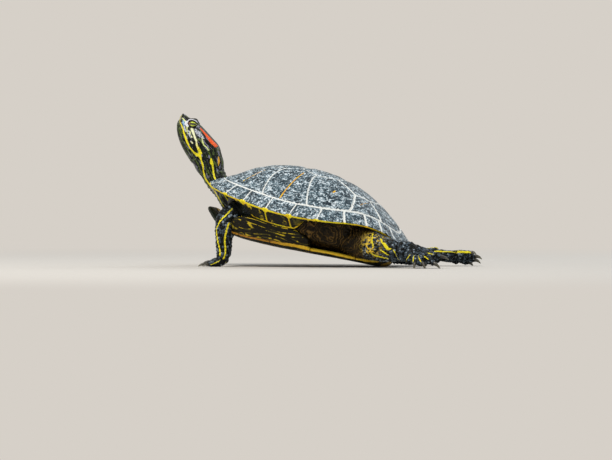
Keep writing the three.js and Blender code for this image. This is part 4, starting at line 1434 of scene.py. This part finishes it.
def under_paint():
    """The black-brown lower face of the edge plates, with yellow outlines and wavy lines."""
    paint = Paint("under_horn", Specular_IOR_Level=0.2)
    gold, seam = paint.mark("gold"), paint.mark("seam")
    broad, fine = paint.grain(0.12), paint.grain(0.9, 4.0, 0.65)
    paint.colour = paint.split(broad, 0.52, 0.12, (8, 10, 6), (26, 25, 10))
    paint.lay(paint.above(fine, 0.6, 0.08), (46, 42, 16))
    along = paint.calc("MULTIPLY_ADD", seam, 0.012, paint.times(broad, 0.34))
    paint.colour = veined(paint, along, paint.colour)
    line = paint.split(paint.grain(0.2), 0.54, 0.1, (250, 230, 36), (240, 192, 36))
    paint.lay(paint.below(paint.ragged(gold, paint.grain(0.5), 0.9), 0.1, 0.16), line)
    height = paint.calc("SUBTRACT", paint.times(fine, 0.6), paint.below(seam, 0.2, 0.2))
    return paint.finish(height, 0.25, fine, 0.34, 0.6)


def plastron_paint():
    """Belly horn: a golden upper edge, in painted shade at the front and painted sunlight aft, dark margins
    that are partly the horn's own dark figure and partly painted shade, veined bridges and a blotched belly.
    """
    paint = Paint("plastron_horn", Specular_IOR_Level=0.2)
    seam, gold, share, bridge, aft = (paint.mark(k) for k in ("seam", "gold", "share", "bridge", "aft"))
    broad, fine = paint.grain(0.07, 2.5, 0.5), paint.grain(0.8, 4.0, 0.65, stretch=(0.5, 1, 1))
    # The dark green-black ground shows on the margins: partly the horn's own dark figure, partly painted
    # shade on the side turned from the light.
    paint.colour = paint.split(fine, 0.55, 0.12, (14, 22, 17), (40, 46, 32))
    blotches = paint.split(broad, 0.47, 0.05, (196, 158, 58), (32, 30, 20))
    paint.lay(paint.below(share, 0.6, 0.08), blotches)
    waves = paint.grain(1.0, 1.5, 0.4, stretch=(0.018, 0.06, 0.11), warp=0.5, along="plan")
    dark = paint.split(fine, 0.55, 0.1, (12, 11, 5), (36, 31, 12))
    paint.lay(bridge, veined(paint, waves, dark))
    # The golden band: a darker orange at the front for the neck's painted shadow, a brighter yellow aft for
    # painted sunlight.
    shaded_front_line = paint.split(fine, 0.5, 0.2, (186, 122, 36), (222, 164, 52))
    sunlit_rear_line = paint.split(fine, 0.5, 0.2, (250, 192, 34), (255, 222, 70))
    band = paint.below(paint.ragged(gold, paint.grain(0.3), 1.6), 0.0, 0.3)
    paint.lay(band, paint.blend(aft, shaded_front_line, sunlit_rear_line))
    paint.lay(paint.below(seam, 0.42, 0.2), (24, 20, 12))
    return paint.finish(fine, 0.25, fine, 0.34, 0.6)


# Tints of the painted lines, from the lowest layer to the top one: the main tint and one in patches.
LINE_TINTS = {
    "green": [(98, 118, 38), (58, 74, 26)],
    # Tints of the painted reflection on wet skin.
    "painted_sheen": [(158, 196, 224), (104, 128, 164)],
    "pale": [(238, 240, 176), (206, 222, 110)],
    "yellow": [(252, 240, 50), (236, 212, 34)],
    "orange": [(250, 196, 66), (236, 160, 44)],
    "red": [(255, 106, 20), (240, 78, 24)],
}


def skin_paint(name, solid_scales):
    """Near-black skin with painted lines and painted highlights; solid scales bring their own shading in
    place of drawn cells.
    """
    paint = Paint(name, Specular_IOR_Level=0.14)
    limb, pocket, lid, face = (paint.mark(k) for k in ("limb", "pocket", "lid", "face"))
    broad, fine = paint.grain(0.14), paint.grain(1.1, 3.5, 0.6)
    streaks = paint.grain(1.0, 3.0, 0.6, stretch=(0.13, 0.5, 0.5), along="flow")
    tints = paint.grain(1.0, 2.0, 0.5, stretch=(0.1, 0.4, 0.4), along="flow")
    paint.colour = paint.split(broad, 0.54, 0.12, (6, 8, 7), (24, 31, 20))
    # Streaks along head and neck: painted highlights on the fine scales, in olive and lavender-grey.
    streak_highlights = paint.split(tints, 0.5, 0.06, (100, 118, 54), (146, 142, 164))
    paint.lay(paint.times(paint.above(streaks, 0.56, 0.025), paint.times(face, 0.9)), streak_highlights)
    paint.lay(limb, (10, 12, 14), 0.6)
    paint.lay(pocket, pocket_tint(paint, fine))
    paint.lay(paint.mark("crown"), (12, 50, 60), 0.75)
    if solid_scales:
        tone, middle = paint.mark("tone"), paint.mark("rise")
    else:
        cells = paint.node("TexVoronoi", {"Vector": paint.where, "Scale": 950.0}).outputs
        tone = paint.node("SeparateColor", {"Color": cells["Color"]}).outputs[0]
        bare = paint.calc("SUBTRACT", 1.0, limb)
        middle = paint.times(paint.below(cells["Distance"], 0.34, 0.22), bare)
    # Painted highlights in blue-grey on the middles of some scales, fainter on head and neck, none in the
    # pockets.
    dull_face = paint.calc("MULTIPLY_ADD", face, -0.75, 1.0)
    shine = paint.times(middle, paint.above(tone, 0.5, 0.3), paint.above(broad, 0.36, 0.2), dull_face,
                        paint.calc("SUBTRACT", 1.0, pocket))
    paint.lay(shine, paint.split(tone, 0.9, 0.06, (84, 98, 110), (158, 171, 181)), 0.85)
    spots = paint.above(paint.grain(0.3, 2.0, 0.5, warp=1.4), 0.53, 0.03)
    paint.lay(spots, (244, 206, 66), paint.mark("mottle"))
    for mark, (tint, patches) in LINE_TINTS.items():
        place = paint.ragged(paint.mark(f"mark_{mark}"), paint.grain(0.45, 2.0), 0.9)
        shade = paint.split(fine, 0.52, 0.16, tint, patches)
        if mark == "yellow":
            shade = paint.blend(paint.mark("cream"), shade, (244, 243, 196))
        paint.lay(paint.below(place, 0.0, 0.13), shade)
    # Painted highlights: white flecks behind and below the eye.
    freckles = paint.above(paint.grain(0.95, 3.0, 0.6), 0.47, 0.05)
    speckled_glints = paint.times(paint.below(paint.mark("mark_speckled_glints"), 0.0, 0.5), freckles)
    paint.lay(speckled_glints, (214, 217, 227), 0.9)
    horn = paint.grain(0.9, 3.0, 0.6, stretch=(1, 1, 0.4))
    paint.lay(paint.mark("beak"), paint.split(horn, 0.5, 0.15, (40, 50, 26), (112, 124, 62)), 0.4)
    paint.lay(paint.below(lid, 1.9, 0.5), (14, 13, 14))
    # Painted highlight on the lids.
    paint.lay(paint.below(paint.mark("lid_pale"), 0.0, 0.12), (238, 237, 242), 0.95)
    paint.lay(paint.below(lid, 0.8, 0.14), (6, 6, 7))
    # Painted shade: the nostril holes in black.
    paint.lay(paint.below(paint.mark("nostril"), 0.85, 0.2), (4, 4, 5))
    height = paint.times(fine, 0.5)
    if not solid_scales:
        paint.lay(paint.mark("web"), paint.split(fine, 0.5, 0.1, (214, 124, 56), (150, 84, 42)), 0.8)
        height = paint.calc("SUBTRACT", height, cells["Distance"])
    return paint.finish(height, 0.3, fine, 0.28, 0.55)


def pocket_tint(paint, fine):
    """Dark brown hollows and tan ridges of the loose skin round the thighs; the tan on the ridges is a
    painted highlight, patchy.
    """
    folds = paint.plus(paint.mark("fold"), paint.times(fine, 0.8))
    # Patches of lighter brown, which also set how strong the painted highlight on the ridges is.
    worn = paint.above(paint.grain(0.18, 3.0, 0.6), 0.5, 0.14)
    ridge_highlights = paint.times(paint.above(folds, 0.95, 0.5), paint.calc("MULTIPLY_ADD", worn, 0.85, 0.15))
    return paint.blend(ridge_highlights, paint.blend(worn, (18, 14, 6), (46, 34, 14)), (116, 88, 42))


def claw_paint():
    paint = Paint("claw_horn", Specular_IOR_Level=0.55)
    streak = paint.grain(0.5, 4.0, 0.6, stretch=(0.3, 1, 1))
    paint.colour = paint.split(streak, 0.5, 0.15, (30, 28, 24), (58, 54, 44))
    paint.lay(paint.above(paint.mark("tip"), 0.6, 0.4), (122, 118, 100))
    return paint.finish(streak, 0.12, streak, 0.25, 0.45)


def eye_paint():
    """Yellow-green iris with a dark bar through the pupil and a brown corner in front."""
    paint = Paint("eye", Specular_IOR_Level=0.6, Roughness=0.08, Coat_Weight=1.0, Coat_Roughness=0.03)
    x, bar, r = (paint.mark(k) for k in ("eye_x", "eye_bar", "eye_r"))
    rays = paint.grain(1.4, 3.0, 0.6)
    paint.colour = paint.split(rays, 0.54, 0.14, (224, 234, 56), (164, 188, 34))
    paint.lay(paint.above(r, 2.9, 0.5), (120, 146, 24))
    paint.lay(paint.below(paint.ragged(bar, paint.grain(1.4), 0.4), 0.0, 0.08), (4, 4, 5))
    paint.lay(paint.above(r, 3.5, 0.15), (12, 11, 9))
    paint.lay(paint.below(x, -1.8, 0.3), paint.split(rays, 0.5, 0.1, (136, 80, 28), (80, 44, 16)))
    return paint.finish(rays, 0.02)


# ---------------------------------------------------------------- pieces
def build_shell():
    plate_horn = carapace_paint("carapace_horn", (246, 202, 38), (228, 154, 42))
    edge_horn = carapace_paint("edge_horn", (250, 232, 40), (240, 212, 36))
    for name, corners in plate_plans().items():
        plate_piece(name, corners, [plate_horn])
    edge_pieces([edge_horn, under_paint()])


def build_plastron():
    """The belly plate and bridges as one smooth body with grooves between their scutes."""
    piece = raw_object("plastron_horn", *join(plastron_bodies(0)))
    remesh(piece, PLASTRON_VOXEL, 6)
    mesh = cut_away(piece, bowl(BRIDGE_CLEARANCE))
    points = points_of(mesh)
    local = shell.into(points)
    x, y, z = local.T
    bend = ripple(in_plan(x, y), 16, 2.0) * 1.5
    y = np.abs(y)
    level, wide = plastron_level(x), plastron_width(x)
    seams = [y, np.abs(y - wide - 1.0) + 9 * (1 - bump(x, -18, 34))]
    for at, slant, curl in PLASTRON_SEAMS:
        seams.append(np.abs(x - at - slant * y - curl * np.sin(y / 45 * pi) + bend * 0.3))
    seam = np.minimum.reduce(seams)
    aft = ramp(-30, 25, x)
    edge_band = np.abs(z - level - 2.9 - bend * 0.3) - mix(0.75, 1.5, aft)
    gold = np.where(ramp(0.86, 0.97, y / wide) > 0.3, edge_band + 3 * ramp(-66, -80, x), 3.0)
    relief = -0.4 * (1 - ramp(0, 0.9, seam)) + ripple(points, 8, 3.0) * 0.15
    relief += 0.06 * wave(seam, 2.6) * ramp(1, 3, seam)
    raise_surface(mesh, points, relief)
    risen = ramp(4.6, 5.6, z - level) * ramp(0.8, 0.9, y / wide)
    store(mesh, seam=seam, gold=gold, share=y / wide, aft=aft, plan=local,
          bridge=np.maximum(ramp(1.0, 1.05, y / wide), risen))
    finish_piece(piece, [plastron_paint()], ["plastron"])


def build_eyes():
    material = eye_paint()
    size = EYE_RADIUS * np.array([1, 0.92, EYE_FLAT]) - 0.02
    for side, name in ((1, "eye_left"), (-1, "eye_right")):
        points, faces = egg(EYE_PLACE * [1, side, 1], size, head, 40, 72)
        local = head.into(points)
        _, x, y = eye_opening(local)
        outside = (local[:, 1] - EYE_PLACE[1] * side) * side > 0
        r = np.where(outside, np.hypot(x - 1.4, y), FAR)
        cornea = 0.3 * (1 - ramp(0, 3.4, r))
        piece = raw_object(f"{name}_ball", head.out(local + np.outer(cornea * side, [0, 1, 0])), faces)
        bar = np.hypot(x - np.clip(x, -1.7, 3.1), y) - 0.86
        store(piece.data, eye_x=np.where(outside, x, 0.0), eye_bar=bar, eye_r=r)
        finish_piece(piece, [material], [name])


def build_claws():
    material = claw_paint()
    for name, paw in feet.items():
        bodies = paw.claws()
        points, faces = join(bodies)
        piece = raw_object(f"claws_{name}", over_floor(points, 0.01), faces)
        store(piece.data, tip=np.concatenate([np.linspace(0, 1, len(b)) for b, _ in bodies]))
        finish_piece(piece, [material], [])


def near_eyes(points):
    local = head.into(points)
    return np.minimum(*(np.linalg.norm(local - EYE_PLACE * side, axis=1) for side in SIDES)) < LID_REACH


def near_head(points):
    return head.into(points)[:, 0] > -3


def build_skin():
    """One skin over all the flesh, with finer faces on the head, its marks, lids and relief."""
    piece = raw_object("skin", *join(flesh_bodies()))
    remesh(piece, SKIN_VOXEL, 0)
    for tool in [bowl(SHELL_CLEARANCE), *plastron_bodies(BELLY_CLEARANCE)]:
        cut_away(piece, tool)
    remesh(piece, SKIN_VOXEL, 4)
    mesh = piece.data
    drop_scraps(mesh)
    refine(mesh, near_head)
    refine(mesh, near_eyes)
    points = points_of(mesh)
    places = skin_places(points)
    paint_skin(mesh, points, places)
    points = open_lids(points, places)
    set_points(mesh, points)
    raise_surface(mesh, points, skin_relief(points, places))
    flesh = ["head", "lower_jaw", "neck", "tail", "trunk"]
    for word in ("left", "right"):
        flesh += [f"{word}_{part}" for part in ("upper_arm", "forearm", "hand", "thigh", "shank", "foot")]
    return finish_piece(piece, [skin_paint("skin", False)], flesh)


# ---------------------------------------------------------------- solid scales
SCALE_RINGS = [(0.86, -0.3, 0.0), (1.0, 0.14, 0.05), (0.56, 0.36, 0.16)]  # reach, height, lean to the tip
SCALE_RISE = [0.0, 0.5, 1.0]  # how far up the scale each ring is
SCALE_SIDES = 6
SCALE_POINTS = SCALE_SIDES * len(SCALE_RINGS)
SKIN_GAP = 1.5  # a row's scale this far from the skin has nothing to sit on
FLOOR_GAP = 1.0
TILES_ACROSS, TILES_UP = 6, 5
TILE_MARGIN, TILE_SPAN = 0.06, 0.88
scatter = np.random.default_rng(7)


def scale_rows(tube, start, end, pitch):
    """Staggered rows of scales round a form, each as length along, angle, half-size and lift."""
    rows = []
    for k, along in enumerate(np.arange(start, end, pitch * 0.84)):
        near = min(np.searchsorted(tube.station, along), len(tube.half) - 1)
        count = max(int(2 * pi * tube.half[near].mean() / pitch), 5)
        rows += [(along, 360 * (i + 0.5 * (k % 2)) / count, pitch * 0.56, 1.0) for i in range(count)]
    return rows


def scale_sets():
    """Every form that bears solid scales, with its rows and the forms whose skin they may sit on."""
    sets = [(tail_tube, scale_rows(tail_tube, 30, tail_tube.length - 2, 2.2), ["tail"])]
    for name, tube in limb_tubes.items():
        fore = name.startswith("fore")
        rows = scale_rows(tube, 22 if fore else 28, tube.length, 2.3 if fore else 1.9)
        if fore:
            rows += [(along, 0.0, 1.7, 2.6) for along in np.arange(34, 66, 3.4)]
        else:
            rows += [(along, -25.0, 1.4, 1.9) for along in np.arange(44, 68, 2.8)]
        sets.append((tube, rows, ["fore", "hind"]))
        palm, toes = feet[name].palm, feet[name].toe_tubes
        for form, end in [(palm, 1), *((toe, 3) for toe in toes)]:
            sets.append((form, scale_rows(form, end, form.length - 1, 1.9), ["hand", "foot"]))
    return sets


def scale_roots(skin):
    """Place, lie, outward direction, half-size, lift and unwrapped place of every scale that fits."""
    tree = BVHTree.FromObject(skin, bpy.context.evaluated_depsgraph_get())
    kept = []
    for tile, (tube, rows, forms) in enumerate(scale_sets()):
        along, angle, size, lift = np.array(rows).T
        spots = tube.at(along, angle)
        on = skin_places(spots)["on"]
        fits = np.any([on[form] for form in forms], axis=0)
        near = np.clip(np.searchsorted(tube.station, along), 0, len(tube.station) - 1)
        for i, spot in enumerate(spots):
            root, normal, _, gap = tree.find_nearest(Vector((spot + SHIFT) / 1000))
            if gap > SKIN_GAP / 1000 or root.z < FLOOR_GAP / 1000 or not fits[i]:
                continue
            normal = np.array(normal)
            lie = tube.along[near[i]]
            lie = unit(lie - normal * (lie @ normal))
            unwrapped = [
                (tile % TILES_ACROSS + TILE_MARGIN + TILE_SPAN * along[i] / tube.length) / TILES_ACROSS,
                (tile // TILES_ACROSS + TILE_MARGIN + TILE_SPAN * angle[i] / 360) / TILES_UP,
            ]
            kept.append([*(np.array(root) * 1000 - SHIFT), *lie, *normal, size[i], lift[i], *unwrapped])
    kept = np.array(kept)
    return kept[:, :3], kept[:, 3:6], kept[:, 6:9], kept[:, 9], kept[:, 10], kept[:, 11:]


def build_scales(skin):
    """Closed six-sided domes on the skin, one at each root, all joined as one piece."""
    roots, lies, normals, sizes, lifts, unwrapped = scale_roots(skin)
    sizes = sizes * scatter.uniform(0.86, 1.14, len(sizes))
    across = np.cross(normals, lies)
    turn = 2 * pi * np.arange(SCALE_SIDES) / SCALE_SIDES
    spread = np.cos(turn)[:, None] * lies[:, None] * 1.12 + np.sin(turn)[:, None] * across[:, None]
    rings, patches = [], []
    for reach, height, lean in SCALE_RINGS:
        rise = height * np.where(height > 0, lifts, 1.0)
        centre = roots + normals * rise[:, None] + lies * (lean * sizes)[:, None]
        rings.append(centre[:, None] + spread * reach * sizes[:, None, None])
        flat = np.stack([np.cos(turn), np.sin(turn)], -1) * 0.0015 * (1.1 - 0.5 * height)
        patches.append(unwrapped[:, None] + flat)
    points = np.concatenate(rings, 1).reshape(-1, 3)
    pattern = ring_faces(len(SCALE_RINGS), SCALE_SIDES)
    pattern += [tuple(range(SCALE_SIDES))[::-1], tuple(range(SCALE_POINTS - SCALE_SIDES, SCALE_POINTS))]
    faces = [tuple(i + start for i in f) for start in range(0, len(points), SCALE_POINTS) for f in pattern]
    piece = raw_object("scales", points, faces)
    mesh = piece.data
    paint_skin(mesh, points, skin_places(points))
    # A random tone per scale picks which scales carry a painted highlight, and the rise puts it on their
    # middles.
    store(mesh, tone=np.repeat(scatter.uniform(0, 1, len(roots)), SCALE_POINTS),
          rise=np.tile(np.repeat(SCALE_RISE, SCALE_SIDES), len(roots)))
    corners = np.empty(len(mesh.loops), int)
    mesh.loops.foreach_get("vertex_index", corners)
    layer = mesh.uv_layers.new(name="OFBake")
    layer.data.foreach_set("uv", np.concatenate(patches, 1).reshape(-1, 2)[corners].ravel())
    finish_piece(piece, [skin_paint("scales", True)], [])


# ---------------------------------------------------------------- stage, lights and camera
AIM = SHIFT + [-2.6, -0.9, 33.3]
VIEW_TURN = 18.5  # degrees from square on to the left side
VIEW_RISE = 1.0
VIEW_DISTANCE = 7000.0
VIEW_SPAN = 566.7  # millimetres across the frame at the animal
SENSOR_WIDTH = 36.0
LAMP_TARGET = Vector((0, 0, 0.05))
FLOOR_RADIUS = 40.0  # metres
FLOOR_DROP = 0.0002  # metres from the feet down to the card
CARD_FADE, CARD_SOFT = 0.62, 0.34  # metres out to where the lit card turns plain, and how softly
SKY, SKY_STRENGTH = (0.86, 0.93, 1.0, 1.0), 0.55
BACKDROP = srgb(214, 208, 200)


def build_stage():
    disc = bmesh.new()
    bmesh.ops.create_circle(disc, cap_ends=True, segments=96, radius=FLOOR_RADIUS)
    mesh = bpy.data.meshes.new("floor")
    disc.to_mesh(mesh)
    disc.free()
    floor = add_object("floor", mesh)
    floor.location.z = -FLOOR_DROP
    paint = Paint("floor_card", Roughness=0.9, Specular_IOR_Level=0.1)
    tone = paint.blend(paint.grain(0.0006, 2.0), (206, 200, 192), (212, 206, 198))
    paint.put(paint.shader.inputs["Base Color"], tone)
    reach = paint.node("VectorMath", {0: paint.where}, operation="LENGTH").outputs["Value"]
    far = paint.times(paint.above(reach, CARD_FADE, CARD_SOFT), paint.backdrop_rays())
    card = paint.node("Emission", {"Color": BACKDROP})
    mixer = paint.node("MixShader", {0: far, 1: paint.shader.outputs[0], 2: card.outputs[0]})
    paint.put(paint.tree.nodes["Material Output"].inputs["Surface"], mixer.outputs[0])
    mesh.materials.append(paint.material)


def build_world():
    world = bpy.data.worlds.new("studio")
    bpy.context.scene.world = world
    world.use_nodes = True
    sky = Nodes(world.node_tree)
    lit = sky.tree.nodes["Background"]
    sky.put(lit.inputs["Color"], SKY)
    sky.put(lit.inputs["Strength"], SKY_STRENGTH)
    seen = sky.node("Background", {"Color": BACKDROP})
    mixer = sky.node("MixShader", {0: sky.backdrop_rays(), 1: lit.outputs[0], 2: seen.outputs[0]})
    sky.put(sky.tree.nodes["World Output"].inputs["Surface"], mixer.outputs[0])


def aimed(name, data, place, towards):
    """A lamp or camera at a place in metres, looking along a direction."""
    thing = add_object(name, data)
    thing.location = place
    thing.rotation_mode = "QUATERNION"
    thing.rotation_quaternion = Vector(towards).to_track_quat("-Z", "Y")
    return thing


def add_lamp(name, place, size, power, colour):
    light = bpy.data.lights.new(name, "AREA")
    light.shape = "DISK"
    light.size, light.energy, light.color = size, power, colour
    aimed(name, light, place, LAMP_TARGET - Vector(place))


def add_camera():
    camera = bpy.data.cameras.new("camera")
    camera.sensor_width = SENSOR_WIDTH
    camera.lens = SENSOR_WIDTH * VIEW_DISTANCE / VIEW_SPAN
    camera.clip_end = 100.0
    (turn_cos, turn_sin), (rise_cos, rise_sin) = cos_sin(VIEW_TURN), cos_sin(VIEW_RISE)
    back = np.array([turn_sin * rise_cos, -turn_cos * rise_cos, rise_sin])
    bpy.context.scene.camera = aimed("camera", camera, (AIM + back * VIEW_DISTANCE) / 1000, -back)


build_shell()
build_plastron()
build_eyes()
build_claws()
build_scales(build_skin())

build_stage()
build_world()
add_lamp("key", (-0.5, -0.9, 1.7), 0.8, 26, (1.0, 0.97, 0.92))
add_lamp("back", (0.6, 1.3, 1.1), 0.9, 6, (0.9, 0.95, 1.0))
add_camera()
bpy.context.scene.view_settings.view_transform = "Standard"
